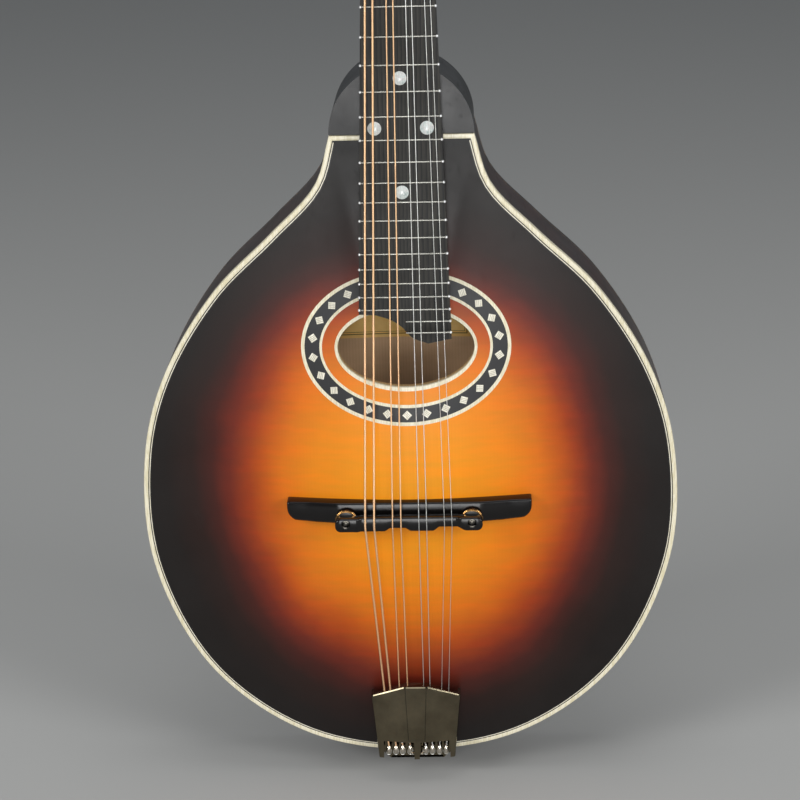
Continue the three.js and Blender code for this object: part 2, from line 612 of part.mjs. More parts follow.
// Saddle seen from the front, with its compensated crown cut in plan.
function bridgeSaddle() {
  const crownY = STRING_Y_AT_SADDLE + 0.51 + GAP;
  const front = prismZ([
    [-34.4, SADDLE_FOOT_Y - 4.2], [-33.6, SADDLE_FOOT_Y], [-24, SADDLE_FOOT_Y],
    [-23, SADDLE_FOOT_Y + 1], [23, SADDLE_FOOT_Y + 1], [24, SADDLE_FOOT_Y],
    [33.6, SADDLE_FOOT_Y], [34.4, SADDLE_FOOT_Y - 4.2], [33, SADDLE_FOOT_Y - 4.8],
    [24, SADDLE_FOOT_Y - 4.8], [22.5, crownY], [-22.5, crownY], [-24, SADDLE_FOOT_Y - 4.8],
    [-33, SADDLE_FOOT_Y - 4.8],
  ].reverse(), SADDLE_Z - 7, SADDLE_Z + 2);
  const plan = prismY([
    [-34.4, -3], [-32, -5.6], [-26, -5.6], [-22, -5.8], [-10.5, -5.8], [-9.5, -4.2], [-1, -4.2],
    [0, -5.8], [12, -5.8], [13.5, -3.8], [23.5, -3.8], [26, -5.4], [32, -5.4], [34.4, -3],
    [34.4, -0.2], [32, 1.2], [-32, 1.2], [-34.4, -0.2],
  ].map(([x, z]) => [x, z + SADDLE_Z]), -60, 0);
  const posts = [-WHEEL_X, WHEEL_X].map((x) =>
    turned(rod(BRIDGE_POST + GAP, -70, 0), 16).translate(x, 0, WHEEL.z));
  const breakZ = SADDLE_Z - 3;
  const above = prismX([
    [-80, breakZ - 6], [-80, breakZ + 8], [crownY + 0.9, breakZ + 8], [crownY, breakZ],
    [crownY + 1.2, breakZ - 6],
  ], -22.6, 22.6);
  return cut(common(front, plan), above, ...posts);
}

// ------------------------------------------------------------------ tailpiece
const TAILPIECE = {
  lipZ: SADDLE_Z - 90, cornerZ: SADDLE_Z - 96, windowTop: SADDLE_Z - 120, floorY: FRONT_Y - 4.4,
  crestY: FRONT_Y - 15, wingY: FRONT_Y - 11.6, sheet: 1.6, plateZ: TAIL_Z - GAP - 1.6,
};
const LIP_Y = FRONT_Y - 11.6;
const HOOK_Z = SADDLE_Z - 124;

function tailpieceBody() {
  const t = TAILPIECE;
  const roofSection = [
    [-21.6, t.wingY], [-5, t.crestY], [5, t.crestY], [21.6, t.wingY],
    [21.6, t.wingY + t.sheet], [5, t.crestY + t.sheet], [-5, t.crestY + t.sheet], [-21.6, t.wingY + t.sheet],
  ];
  const low = t.plateZ;
  const plan = [
    [-18.6, low], [18.6, low], [21.6, t.cornerZ], [4.3, t.lipZ], [-4.3, t.lipZ], [-21.6, t.cornerZ],
  ];
  const roof = common(prismZ(roofSection.slice().reverse(), low, t.lipZ + 1), prismY(plan, -60, 0));
  const walls = cut(
    prismY([[-18.6, low], [18.6, low], [21.6, t.cornerZ], [-21.6, t.cornerZ]],
      t.wingY + 0.4, t.floorY + t.sheet),
    box(-17.2, 17.2, -60, t.floorY, low - 1, t.cornerZ + 1));
  const ribCentre = box(-0.9, 0.9, t.crestY + 0.4, t.floorY + 0.4, low + 1, t.windowTop + 2);
  const windows = [-1, 1].map((side) =>
    box(...(side < 0 ? [-16.2, -1.3] : [1.3, 16.2]), -60, t.floorY - 1.5, low - 1, t.windowTop));
  const hooks = STRINGS.map(([, , , , , x]) =>
    box(x - TAILPIECE_X - 0.8, x - TAILPIECE_X + 0.8, LIP_Y + 1, t.floorY + 0.5, HOOK_Z - 4, HOOK_Z - 1.6));
  const tailPlate = box(-13, 13, t.floorY, 18, t.plateZ, t.plateZ + 1.6);
  const body = cut(join(roof, walls), ...windows);
  const whole = join(body, ribCentre, tailPlate, ...hooks).translate(TAILPIECE_X, 0, 0);
  const wireRoom = STRINGS.map(([, r, , , lipX]) =>
    box(lipX - r - 0.5, lipX + r + 0.5, LIP_Y - r - GAP, LIP_Y + 3, t.cornerZ - 8, t.lipZ + 5));
  return cut(whole, ...wireRoom, ...tailBores());
}

function endPin() {
  return turnedZ([
    [0, 0], [6, 0], [7, -1.2], [6.8, -3.2], [4.6, -4.4], [4.2, -6], [5.6, -7.4], [5.6, -9.4],
    [PIN_BORE - GAP, -9.9], [PIN_BORE - GAP, -32], [0, -32],
  ].map(([r, h]) => [r, -h]), 20);
}

function tailScrew() {
  const top = TAILPIECE.plateZ - GAP;
  return turnedZ([[0, top - 1.1], [1.6, top - 1.1], [2.4, top], [1, top], [1, top + 14], [0, top + 15.5]], 12);
}

// -------------------------------------------------------------------- strings
// A route whose extrusion steps fall exactly on its corners.
class Route extends THREE.Curve {
  constructor(points) {
    super();
    this.points = points;
  }

  getPoint(t, target = new THREE.Vector3()) {
    const at = Math.min(Math.max(t, 0), 1) * (this.points.length - 1);
    const i = Math.min(Math.floor(at), this.points.length - 2);
    return target.lerpVectors(this.points[i], this.points[i + 1], at - i);
  }

  getPointAt(t, target) {
    return this.getPoint(t, target);
  }

  getTangentAt(t, target) {
    return this.getTangent(t, target);
  }
}

// String i goes to its own post: the outer course to the two nearest posts.
function stringPost(i) {
  const side = i < 4 ? -1 : 1;
  const order = i < 4 ? i : 7 - i;
  return { side, h: postHeights[order] };
}

function stringRoute(i) {
  const [, radius, nutX, saddleX, lipX, hookX] = STRINGS[i];
  const { side, h } = stringPost(i);
  const post = new THREE.Vector3(side * (POST_X - 2.5 - GAP - radius), -5.4, h - 1)
    .applyMatrix4(HEAD_MATRIX);
  return [
    new THREE.Vector3(hookX, LIP_Y + 1.6, HOOK_Z + 0.6),
    new THREE.Vector3(lipX, LIP_Y + 0.4, TAILPIECE.lipZ - 4),
    new THREE.Vector3(saddleX, STRING_Y_AT_SADDLE, SADDLE_Z - 3),
    new THREE.Vector3(nutX, STRING_Y_AT_NUT, NUT_Z),
    new THREE.Vector3(nutX * 1.02, STRING_Y_AT_NUT + 0.2, NUT_Z + NUT_WIDTH),
    post,
  ];
}

function stringWire(i) {
  const route = stringRoute(i);
  const sides = 8;
  return new THREE.ExtrudeGeometry(circleShape(STRINGS[i][1], sides),
    { steps: route.length - 1, extrudePath: new Route(route), bevelEnabled: false });
}

// ------------------------------------------------------------------- assembly
const mandolin = new THREE.Group();

function add(parent, name, geometry, material, x = 0, y = 0, z = 0) {
  const mesh = new THREE.Mesh(geometry, material);
  mesh.name = name;
  mesh.position.set(x, y, z);
  parent.add(mesh);
}

function addBody() {
  add(mandolin, 'soundboard', soundboard(), FINISH.sunburst);
  add(mandolin, 'back_plate', backPlate(), FINISH.darkMaple);
  add(mandolin, 'top_binding', binding(), FINISH.ivoroid);
  add(mandolin, 'soundhole_binding', holeBinding(), FINISH.ivoroid);
  add(mandolin, 'rosette_ring', rosette(), FINISH.rosette);
  add(mandolin, 'head_block', headBlock(), FINISH.spruce);
  add(mandolin, 'tail_block', tailBlock(), FINISH.spruce);
  add(mandolin, 'cross_brace', crossBrace(), FINISH.spruce);
  for (const [side, hand] of [[-1, 'bass'], [1, 'treble']]) {
    add(mandolin, `rib_${hand}`, rib(side), FINISH.darkMaple);
    add(mandolin, `lining_front_${hand}`, lining(side, FRONT_Y + BINDING_DEPTH + GAP), FINISH.spruce);
    add(mandolin, `lining_back_${hand}`, lining(side, BACK_Y - PLATE_EDGE - GAP - LINING_DEPTH), FINISH.spruce);
  }
}

function addNeck() {
  add(mandolin, 'neck', neck(), FINISH.blackMaple);
  add(mandolin, 'heel_cap', heelCap(), FINISH.blackMaple);
  add(mandolin, 'fingerboard', fingerboard(), FINISH.ebony);
  add(mandolin, 'nut', nut(), FINISH.ivoroid);
  add(mandolin, 'truss_rod', trussRod(), FINISH.steel);
  add(mandolin, 'truss_nut', trussNut(), FINISH.brass);
}

function addHead() {
  const head = new THREE.Group();
  head.position.copy(HEAD_ORIGIN);
  head.rotation.x = -HEAD_PITCH;
  mandolin.add(head);
  add(head, 'head_veneer', veneer(), FINISH.ebony);
  add(head, 'truss_cover', trussCover(), FINISH.ebony);
  for (const [side, hand] of [[-1, 'bass'], [1, 'treble']]) {
    add(head, `tuner_plate_${hand}`, tunerPlate(side), FINISH.nickel);
    postHeights.forEach((h, i) => {
      add(head, `tuner_post_${hand}_${i + 1}`, tunerPost(), FINISH.nickel, side * POST_X, 0, h);
      add(head, `tuner_worm_${hand}_${i + 1}`, wormShaft(side), FINISH.nickel,
        side * POST_X, WORM_Y, h + WORM_OFFSET);
    });
  }
}

function addBridge() {
  add(mandolin, 'bridge_base', bridgeBase(), FINISH.ebony);
  add(mandolin, 'bridge_saddle', bridgeSaddle(), FINISH.ebony);
  for (const [side, hand] of [[-1, 'bass'], [1, 'treble']]) {
    add(mandolin, `bridge_post_${hand}`, bridgePost(), FINISH.brass, side * WHEEL_X, 0, WHEEL.z);
    add(mandolin, `thumbwheel_${hand}`, thumbwheel(), FINISH.brass, side * WHEEL_X, 0, WHEEL.z);
  }
}

function addTailpieceAndStrings() {
  add(mandolin, 'tailpiece', tailpieceBody(), FINISH.nickel);
  add(mandolin, 'end_pin', endPin(), FINISH.ebony);
  SCREW_PLACES.forEach(([x, y], i) => {
    add(mandolin, `tailpiece_screw_${i + 1}`, tailScrew(), FINISH.nickel, x + TAILPIECE_X, y, 0);
  });
  STRINGS.forEach(([name], i) => {
    add(mandolin, `string_${name}`, stringWire(i), i < 4 ? FINISH.bronze : FINISH.steel);
  });
}

addBody();
addNeck();
addHead();
addBridge();
addTailpieceAndStrings();

export default mandolin;
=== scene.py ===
"""An oval-hole, arched-top mandolin: its looks, built round the fixed frame.

Units are millimetres in the tables and metres in the meshes. Z runs up the
neck, the soundboard faces -Y, and the bass side is -X.
"""

import json
import logging
import math
from dataclasses import dataclass
from enum import Enum
from typing import Callable, Sequence

import bpy
import numpy as np
from mathutils import Matrix, Vector

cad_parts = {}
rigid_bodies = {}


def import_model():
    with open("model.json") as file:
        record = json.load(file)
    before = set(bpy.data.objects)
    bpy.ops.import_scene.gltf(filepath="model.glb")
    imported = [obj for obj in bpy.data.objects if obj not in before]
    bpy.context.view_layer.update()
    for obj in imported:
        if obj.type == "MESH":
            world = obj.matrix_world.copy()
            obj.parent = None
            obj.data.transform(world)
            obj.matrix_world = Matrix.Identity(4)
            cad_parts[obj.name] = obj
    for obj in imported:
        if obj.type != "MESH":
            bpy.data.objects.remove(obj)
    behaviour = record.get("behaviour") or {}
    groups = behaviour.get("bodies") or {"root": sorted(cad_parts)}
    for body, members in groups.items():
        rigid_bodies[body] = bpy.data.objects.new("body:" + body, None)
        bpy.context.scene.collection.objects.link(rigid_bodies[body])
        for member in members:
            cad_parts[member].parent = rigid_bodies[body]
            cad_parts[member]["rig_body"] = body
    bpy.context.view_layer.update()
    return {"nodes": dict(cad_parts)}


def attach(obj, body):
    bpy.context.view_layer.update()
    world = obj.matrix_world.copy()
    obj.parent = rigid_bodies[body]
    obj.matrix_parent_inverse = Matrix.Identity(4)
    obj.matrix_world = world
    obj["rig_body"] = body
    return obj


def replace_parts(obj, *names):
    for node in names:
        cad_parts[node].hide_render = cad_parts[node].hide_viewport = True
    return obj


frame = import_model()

LOG = logging.getLogger("mandolin")
MM = 0.001
Point = tuple[float, float, float]


class Hand(Enum):
    """Which side of the instrument a piece is on; the value is the sign of X."""

    BASS = -1
    TREBLE = 1

    @property
    def label(self) -> str:
        """The side's name in piece names."""
        return self.name.lower()


# ------------------------------------------------------------------ mesh tools
def let_go() -> None:
    """Leave edit mode and deselect everything."""
    if bpy.context.object and bpy.context.object.mode != "OBJECT":
        bpy.ops.object.mode_set(mode="OBJECT")
    bpy.ops.object.select_all(action="DESELECT")


def hold(piece: bpy.types.Object) -> None:
    """Make one piece the only selected and active object.

    Args:
        piece: the object to work on.
    """
    let_go()
    piece.select_set(True)
    bpy.context.view_layer.objects.active = piece


def settle(piece: bpy.types.Object, name: str) -> bpy.types.Object:
    """Name a new piece and put its place into its mesh.

    Args:
        piece: the new object.
        name: its name.

    Returns:
        The same object, at the origin.
    """
    hold(piece)
    bpy.ops.object.transform_apply(location=True, rotation=True, scale=True)
    piece.name = name
    piece.data.name = name
    return piece


def edit(piece: bpy.types.Object, *steps: Callable[[], object]) -> None:
    """Run edit-mode operators on the whole of a piece.

    Args:
        piece: the mesh to edit.
        steps: calls that run in order with everything selected.
    """
    hold(piece)
    bpy.ops.object.mode_set(mode="EDIT")
    bpy.ops.mesh.select_all(action="SELECT")
    for step in steps:
        step()
    bpy.ops.object.mode_set(mode="OBJECT")


def merge(distance: float = 1e-6) -> None:
    """Merge selected points that lie on each other."""
    bpy.ops.mesh.remove_doubles(threshold=distance)


def outwards() -> None:
    """Turn the selected faces outwards."""
    bpy.ops.mesh.normals_make_consistent(inside=False)


def fill_ends() -> None:
    """Close the open ends of a tube."""
    bpy.ops.mesh.select_all(action="DESELECT")
    bpy.ops.mesh.select_non_manifold()
    bpy.ops.mesh.fill_holes(sides=0)
    bpy.ops.mesh.select_all(action="SELECT")


def finish_with(piece: bpy.types.Object, kind: str, **settings: object) -> None:
    """Add a modifier to a piece and apply it.

    Args:
        piece: the mesh.
        kind: the modifier's type.
        settings: the modifier's values.
    """
    hold(piece)
    modifier = piece.modifiers.new(kind.title(), kind)
    for key, value in settings.items():
        setattr(modifier, key, value)
    bpy.ops.object.modifier_apply(modifier=modifier.name)


def smooth(piece: bpy.types.Object, degrees: float = 35) -> bpy.types.Object:
    """Shade a piece smooth, except across edges sharper than an angle."""
    hold(piece)
    bpy.ops.object.shade_smooth_by_angle(angle=math.radians(degrees))
    return piece


def place_points(piece: bpy.types.Object, points: np.ndarray) -> None:
    """Set every point of a mesh.

    Args:
        piece: the mesh.
        points: one row of three metres for each vertex.
    """
    piece.data.vertices.foreach_set("co", points.astype(np.float32).ravel())
    piece.data.update()


def loft(name: str, rings: np.ndarray, closed: bool = False, angle: float = 35) -> bpy.types.Object:
    """A skin drawn through a row of section rings.

    Args:
        name: the piece's name.
        rings: sections, points and three millimetres along the axes.
        closed: whether the last section joins the first.
        angle: edges sharper than this stay crisp.

    Returns:
        The closed piece.
    """
    rings = np.asarray(rings, float)
    rings = np.concatenate([rings, rings[:, :1]], axis=1)
    if closed:
        rings = np.concatenate([rings, rings[:1]], axis=0)
    rows, columns = rings.shape[:2]
    let_go()
    bpy.ops.mesh.primitive_grid_add(x_subdivisions=columns - 1, y_subdivisions=rows - 1, size=0.01)
    piece = settle(bpy.context.object, name)
    place_points(piece, rings.reshape(-1, 3) * MM)
    edit(piece, merge, *(() if closed else (fill_ends,)), outwards)
    return smooth(piece, angle)


def circle(radius: float, sides: int) -> np.ndarray:
    """Points round a circle, as pairs."""
    turn = np.arange(sides) * (2 * math.pi / sides)
    return np.stack([np.cos(turn), np.sin(turn)], axis=1) * radius


def tube(name: str, path: Sequence[Point], radius: float, sides: int = 10) -> bpy.types.Object:
    """A round wire along a path.

    Args:
        name: the piece's name.
        path: points in millimetres.
        radius: the wire's radius.
        sides: how many faces go round it.

    Returns:
        The wire.
    """
    points = np.asarray(path, float)
    tangents = np.gradient(points, axis=0)
    tangents /= np.linalg.norm(tangents, axis=1, keepdims=True)
    across = np.cross(tangents[0], [0.31, 0.82, 0.48])
    rings = []
    for point, tangent in zip(points, tangents):
        across -= tangent * across.dot(tangent)
        across /= np.linalg.norm(across)
        other = np.cross(tangent, across)
        flat = circle(radius, sides)
        rings.append(point + flat[:, :1] * across + flat[:, 1:] * other)
    return loft(name, np.array(rings), angle=60)


def placed(rings: Sequence[Sequence[Point]], place: Matrix) -> np.ndarray:
    """Move rows of rings to a place.

    Args:
        rings: rings of points with the same length.
        place: the turn and the shift, in millimetres.

    Returns:
        The moved rings, in the same rows.
    """
    rows = np.array(rings)
    turn, move = np.array(place.to_3x3()), np.array(place.translation)
    return (rows.reshape(-1, 3) @ turn.T + move).reshape(rows.shape)


def turned(name: str, profile: Sequence[tuple[float, float]], place: Matrix,
           sides: int = 32) -> bpy.types.Object:
    """A piece turned on the lathe about its own Z.

    Args:
        name: the piece's name.
        profile: radius and height, in millimetres, from the axis to the axis.
        place: where the turned piece goes, in millimetres.
        sides: how many faces go round it.

    Returns:
        The turned piece.
    """
    flat = circle(1, sides)
    rings = [np.column_stack([flat * max(r, 1e-5), np.full(sides, h)]) for r, h in profile]
    return loft(name, placed(rings, place), angle=32)


def joined(name: str, pieces: Sequence[bpy.types.Object]) -> bpy.types.Object:
    """Join meshes into one piece.

    Args:
        name: the piece's name.
        pieces: the meshes to join.

    Returns:
        The joined piece.
    """
    let_go()
    for piece in pieces:
        piece.select_set(True)
    bpy.context.view_layer.objects.active = pieces[0]
    if len(pieces) > 1:
        bpy.ops.object.join()
    return settle(bpy.context.object, name)


def refined(node: str, width: float = 0.25, segments: int = 2, angle: float = 30) -> bpy.types.Object:
    """A copy of a frame node with its edges eased.

    Args:
        node: the frame node's name.
        width: the eased edge's width in millimetres, or 0 to keep it sharp.
        segments: steps across the eased edge.
        angle: only edges sharper than this are eased.

    Returns:
        The copy, which stands for the node and rides on its body.
    """
    source = frame["nodes"][node]
    body = source["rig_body"]
    piece = bpy.data.objects.new(node + ".fine", source.data.copy())
    bpy.context.scene.collection.objects.link(piece)
    edit(piece, lambda: merge(2e-6), lambda: bpy.ops.mesh.dissolve_limited(angle_limit=math.radians(0.6)))
    if width:
        finish_with(piece, "BEVEL", width=width * MM, segments=segments, limit_method="ANGLE",
                    angle_limit=math.radians(angle), use_clamp_overlap=True)
    smooth(piece, 40)
    finish_with(piece, "WEIGHTED_NORMAL", weight=100, keep_sharp=True)
    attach(piece, body)
    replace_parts(piece, node)
    return piece


def bare_inside(piece: bpy.types.Object, way: int, finish: "Finish") -> None:
    """Leave a plate's inner face as bare wood.

    Args:
        piece: the plate.
        way: the sign of Y that its inner face looks along.
        finish: the bare wood.
    """
    piece.data.materials.append(finish.material())
    for face in piece.data.polygons:
        face.material_index = 1 if face.normal.y * way > 0.5 else 0


def dress(piece: bpy.types.Object, finish: "Finish") -> bpy.types.Object:
    """Give a piece one finish.

    Args:
        piece: the mesh.
        finish: its finish.

    Returns:
        The same piece.
    """
    piece.data.materials.clear()
    piece.data.materials.append(finish.material())
    LOG.info("%s: %d faces, %s", piece.name, len(piece.data.polygons), finish.name)
    return piece


# ------------------------------------------------------------------- materials
def linear(code: str) -> tuple[float, float, float, float]:
    """A display colour such as c76b14, as linear red, green, blue and alpha."""
    channels = [int(code[i:i + 2], 16) / 255 for i in (0, 2, 4)]
    bent = [c / 12.92 if c <= 0.04045 else ((c + 0.055) / 1.055) ** 2.4 for c in channels]
    return (bent[0], bent[1], bent[2], 1.0)


class Nodes:
    """A small builder for one shader tree."""

    def __init__(self, tree: bpy.types.NodeTree) -> None:
        """Start on an empty tree."""
        self.tree = tree
        tree.nodes.clear()

    def add(self, kind: str, **inputs: object) -> bpy.types.Node:
        """Add a node and fill its inputs.

        Args:
            kind: the node's type without its ShaderNode prefix.
            inputs: socket names, with underscores for spaces, or node
                properties, and either a value or a socket to link.

        Returns:
            The node.
        """
        node = self.tree.nodes.new("ShaderNode" + kind)
        for key, value in inputs.items():
            name = key.replace("_", " ")
            if key.startswith("in"):
                self.feed(node.inputs[int(key[2:])], value)
            elif name in node.inputs:
                self.feed(node.inputs[name], value)
            else:
                setattr(node, key, value)
        return node

    def feed(self, socket: bpy.types.NodeSocket, value: object) -> None:
        """Link a socket, or set its value."""
        if isinstance(value, bpy.types.NodeSocket):
            self.tree.links.new(value, socket)
        else:
            socket.default_value = value

    def ramp(self, factor: bpy.types.NodeSocket, stops: Sequence[tuple[float, object]],
             smooth_steps: bool = False) -> bpy.types.NodeSocket:
        """A colour ramp.

        Args:
            factor: what drives it.
            stops: positions with a colour code or a grey value.
            smooth_steps: whether it eases between the stops.

        Returns:
            The ramp's colour.
        """
        node = self.add("ValToRGB", Fac=factor)
        band = node.color_ramp
        band.interpolation = "EASE" if smooth_steps else "LINEAR"
        while len(band.elements) < len(stops):
            band.elements.new(0.5)
        for element, (place, value) in zip(band.elements, stops):
            element.position = place
            element.color = linear(value) if isinstance(value, str) else (value, value, value, 1)
        return node.outputs["Color"]

    def sum(self, operation: str, first: object, second: object) -> bpy.types.NodeSocket:
        """A sum of two values, such as ADD or MULTIPLY."""
        return self.add("Math", operation=operation, in0=first, in1=second).outputs[0]

    def mix(self, factor: object, first: object, second: object, blend: str = "MIX") -> bpy.types.NodeSocket:
        """A mix of two colours."""
        node = self.add("MixRGB", blend_type=blend, Fac=factor, Color1=first, Color2=second)
        return node.outputs[0]


def shared(name: str, inputs: dict[str, float], outputs: dict[str, str],
           wire: Callable[[Nodes, bpy.types.Node, bpy.types.Node], None]) -> bpy.types.NodeTree:
    """A shared effect as a node group, built once.

    Args:
        name: the group's name.
        inputs: float inputs with their usual values.
        outputs: output names with their socket types.
        wire: wires the group between its input and output nodes.

    Returns:
        The node group.
    """
    if name in bpy.data.node_groups:
        return bpy.data.node_groups[name]
    tree = bpy.data.node_groups.new(name, "ShaderNodeTree")
    nodes = Nodes(tree)
    tree.interface.new_socket("Vector", in_out="INPUT", socket_type="NodeSocketVector")
    for key, value in inputs.items():
        tree.interface.new_socket(key, in_out="INPUT", socket_type="NodeSocketFloat").default_value = value
    for key, kind in outputs.items():
        tree.interface.new_socket(key, in_out="OUTPUT", socket_type=kind)
    source = tree.nodes.new("NodeGroupInput")
    result = tree.nodes.new("NodeGroupOutput")
    wire(nodes, source, result)
    return tree


def wood_grain() -> bpy.types.NodeTree:
    """Fine year lines along Z with slow waviness, and a fleck of silk across."""

    def wire(n: Nodes, source: bpy.types.Node, result: bpy.types.Node) -> None:
        stretch = n.add("Mapping", Vector=source.outputs["Vector"], Scale=(1, 1, 0.035))
        drift = n.add("TexNoise", Vector=stretch.outputs[0], Scale=source.outputs["Drift"], Detail=2.0)
        parts = n.add("SeparateXYZ", Vector=source.outputs["Vector"])
        wander = n.sum("MULTIPLY", n.sum("SUBTRACT", drift.outputs[0], 0.5), source.outputs["Wander"])
        across = n.sum("ADD", parts.outputs[0], wander)
        phase = n.sum("MULTIPLY", across, source.outputs["Lines"])
        saw = n.sum("FRACT", phase, 0.0)
        line = n.ramp(saw, [(0.0, 0.25), (0.55, 0.55), (0.86, 1.0), (1.0, 0.25)])
        fine = n.add("TexNoise", Vector=stretch.outputs[0], Scale=source.outputs["Fibre"], Detail=4.0)
        n.feed(result.inputs["Lines"], n.mix(0.45, line, fine.outputs[0]))
        silk_place = n.add("Mapping", Vector=source.outputs["Vector"], Scale=(0.12, 1, 1))
        silk = n.add("TexNoise", Vector=silk_place.outputs[0], Scale=source.outputs["Silk"], Detail=3.0)
        n.feed(result.inputs["Silk"], n.ramp(silk.outputs[0], [(0.35, 0.0), (0.7, 1.0)]))

    inputs = {"Lines": 700.0, "Drift": 18.0, "Wander": 0.004, "Fibre": 900.0, "Silk": 260.0}
    return shared("wood grain", inputs, {"Lines": "NodeSocketColor", "Silk": "NodeSocketColor"}, wire)


def hand_marks() -> bpy.types.NodeTree:
    """Soft smudges, fine scuffs and a little dust, as masks."""

    def wire(n: Nodes, source: bpy.types.Node, result: bpy.types.Node) -> None:
        smudge = n.add("TexNoise", Vector=source.outputs["Vector"], Scale=source.outputs["Smudge"],
                       Detail=5.0, Roughness=0.6)
        n.feed(result.inputs["Smudge"], n.ramp(smudge.outputs[0], [(0.3, 0.0), (0.72, 1.0)]))
        scuff_place = n.add("Mapping", Vector=source.outputs["Vector"], Rotation=(0.4, 0.9, 0.3),
                            Scale=(1, 0.08, 0.6))
        scuff = n.add("TexNoise", Vector=scuff_place.outputs[0], Scale=source.outputs["Scuff"], Detail=6.0)
        n.feed(result.inputs["Scuff"], n.ramp(scuff.outputs[0], [(0.58, 0.0), (0.74, 1.0)]))
        dust = n.add("TexNoise", Vector=source.outputs["Vector"], Scale=source.outputs["Dust"], Detail=8.0,
                     Roughness=0.75)
        n.feed(result.inputs["Dust"], n.ramp(dust.outputs[0], [(0.6, 0.0), (0.8, 1.0)]))

    return shared("hand marks", {"Smudge": 30.0, "Scuff": 400.0, "Dust": 900.0},
                  {"Smudge": "NodeSocketColor", "Scuff": "NodeSocketColor", "Dust": "NodeSocketColor"}, wire)


@dataclass(frozen=True)
class Finish:
    """A finish: a base colour and how the light meets it."""

    name: str
    slot: str
    colour: str
    second: str = ""
    rough: tuple[float, float] = (0.35, 0.5)
    metallic: float = 0.0
    coat: float = 0.0
    bump: float = 0.05
    specular: float = 0.5
    smudge: float = 30.0

    def material(self) -> bpy.types.Material:
        """The finish's material, made on its first use."""
        if self.name in bpy.data.materials:
            return bpy.data.materials[self.name]
        material = bpy.data.materials.new(self.name)
        material.use_nodes = True
        nodes = Nodes(material.node_tree)
        shader = nodes.add("BsdfPrincipled", Metallic=self.metallic, Coat_Weight=self.coat,
                           Coat_Roughness=0.12, Specular_IOR_Level=self.specular)
        nodes.add("OutputMaterial", Surface=shader.outputs[0])
        place = nodes.add("TexCoord").outputs["Object"]
        self.paint(nodes, shader, place)
        return material

    def marks(self, n: Nodes, place: bpy.types.NodeSocket) -> bpy.types.Node:
        """The shared hand marks at this finish's scale."""
        node = n.add("Group", node_tree=hand_marks())
        n.feed(node.inputs["Vector"], place)
        n.feed(node.inputs["Smudge"], self.smudge)
        return node

    def surface(self, n: Nodes, shader: bpy.types.Node, colour: bpy.types.NodeSocket,
                marks: bpy.types.Node, height: bpy.types.NodeSocket) -> None:
        """Wire colour, roughness and bump.

        Args:
            n: the builder.
            shader: the surface shader.
            colour: the base colour before dust and scuffs.
            marks: the hand marks.
            height: the fine relief.
        """
        low, high = self.rough
        span = n.add("MapRange", in0=marks.outputs["Smudge"], in3=low, in4=high).outputs[0]
        rough = n.sum("ADD", span, n.sum("MULTIPLY", marks.outputs["Scuff"], 0.06))
        dusty = n.mix(n.sum("MULTIPLY", marks.outputs["Dust"], 0.05), colour, linear("8c8a86"))
        n.feed(shader.inputs["Base Color"], dusty)
        n.feed(shader.inputs["Roughness"], rough)
        if self.bump:
            relief = n.add("Bump", Strength=self.bump, Distance=0.0004, Height=height)
            n.feed(shader.inputs["Normal"], relief.outputs[0])

    def paint(self, n: Nodes, shader: bpy.types.Node, place: bpy.types.NodeSocket) -> None:
        """Plain finish: two close shades, broken up by smudges and scuffs."""
        marks = self.marks(n, place)
        fine = n.add("TexNoise", Vector=place, Scale=1400.0, Detail=3.0).outputs[0]
        shade = n.mix(marks.outputs["Smudge"], linear(self.colour), linear(self.second or self.colour))
        self.surface(n, shader, shade, marks, fine)


@dataclass(frozen=True)
class Grained(Finish):
    """A wood with lines along the neck and flecks of silk across it."""

    lines: float = 700.0
    depth: float = 0.25
    silk: float = 0.12
    fibre: float = 900.0
    wander: float = 0.004

    def grain(self, n: Nodes, place: bpy.types.NodeSocket) -> bpy.types.Node:
        """The shared wood grain with this wood's spacing."""
        node = n.add("Group", node_tree=wood_grain())
        values = {"Vector": place, "Lines": self.lines, "Fibre": self.fibre, "Wander": self.wander}
        for key, value in values.items():
            n.feed(node.inputs[key], value)
        return node

    def paint(self, n: Nodes, shader: bpy.types.Node, place: bpy.types.NodeSocket) -> None:
        """Lay the darker shade in the grain lines."""
        grain = self.grain(n, place)
        marks = self.marks(n, place)
        tone = n.mix(n.sum("MULTIPLY", grain.outputs["Lines"], self.depth * 2),
                     linear(self.colour), linear(self.second))
        tone = n.mix(n.sum("MULTIPLY", grain.outputs["Silk"], self.silk), tone, linear(self.colour), "ADD")
        self.surface(n, shader, tone, marks, grain.outputs["Lines"])


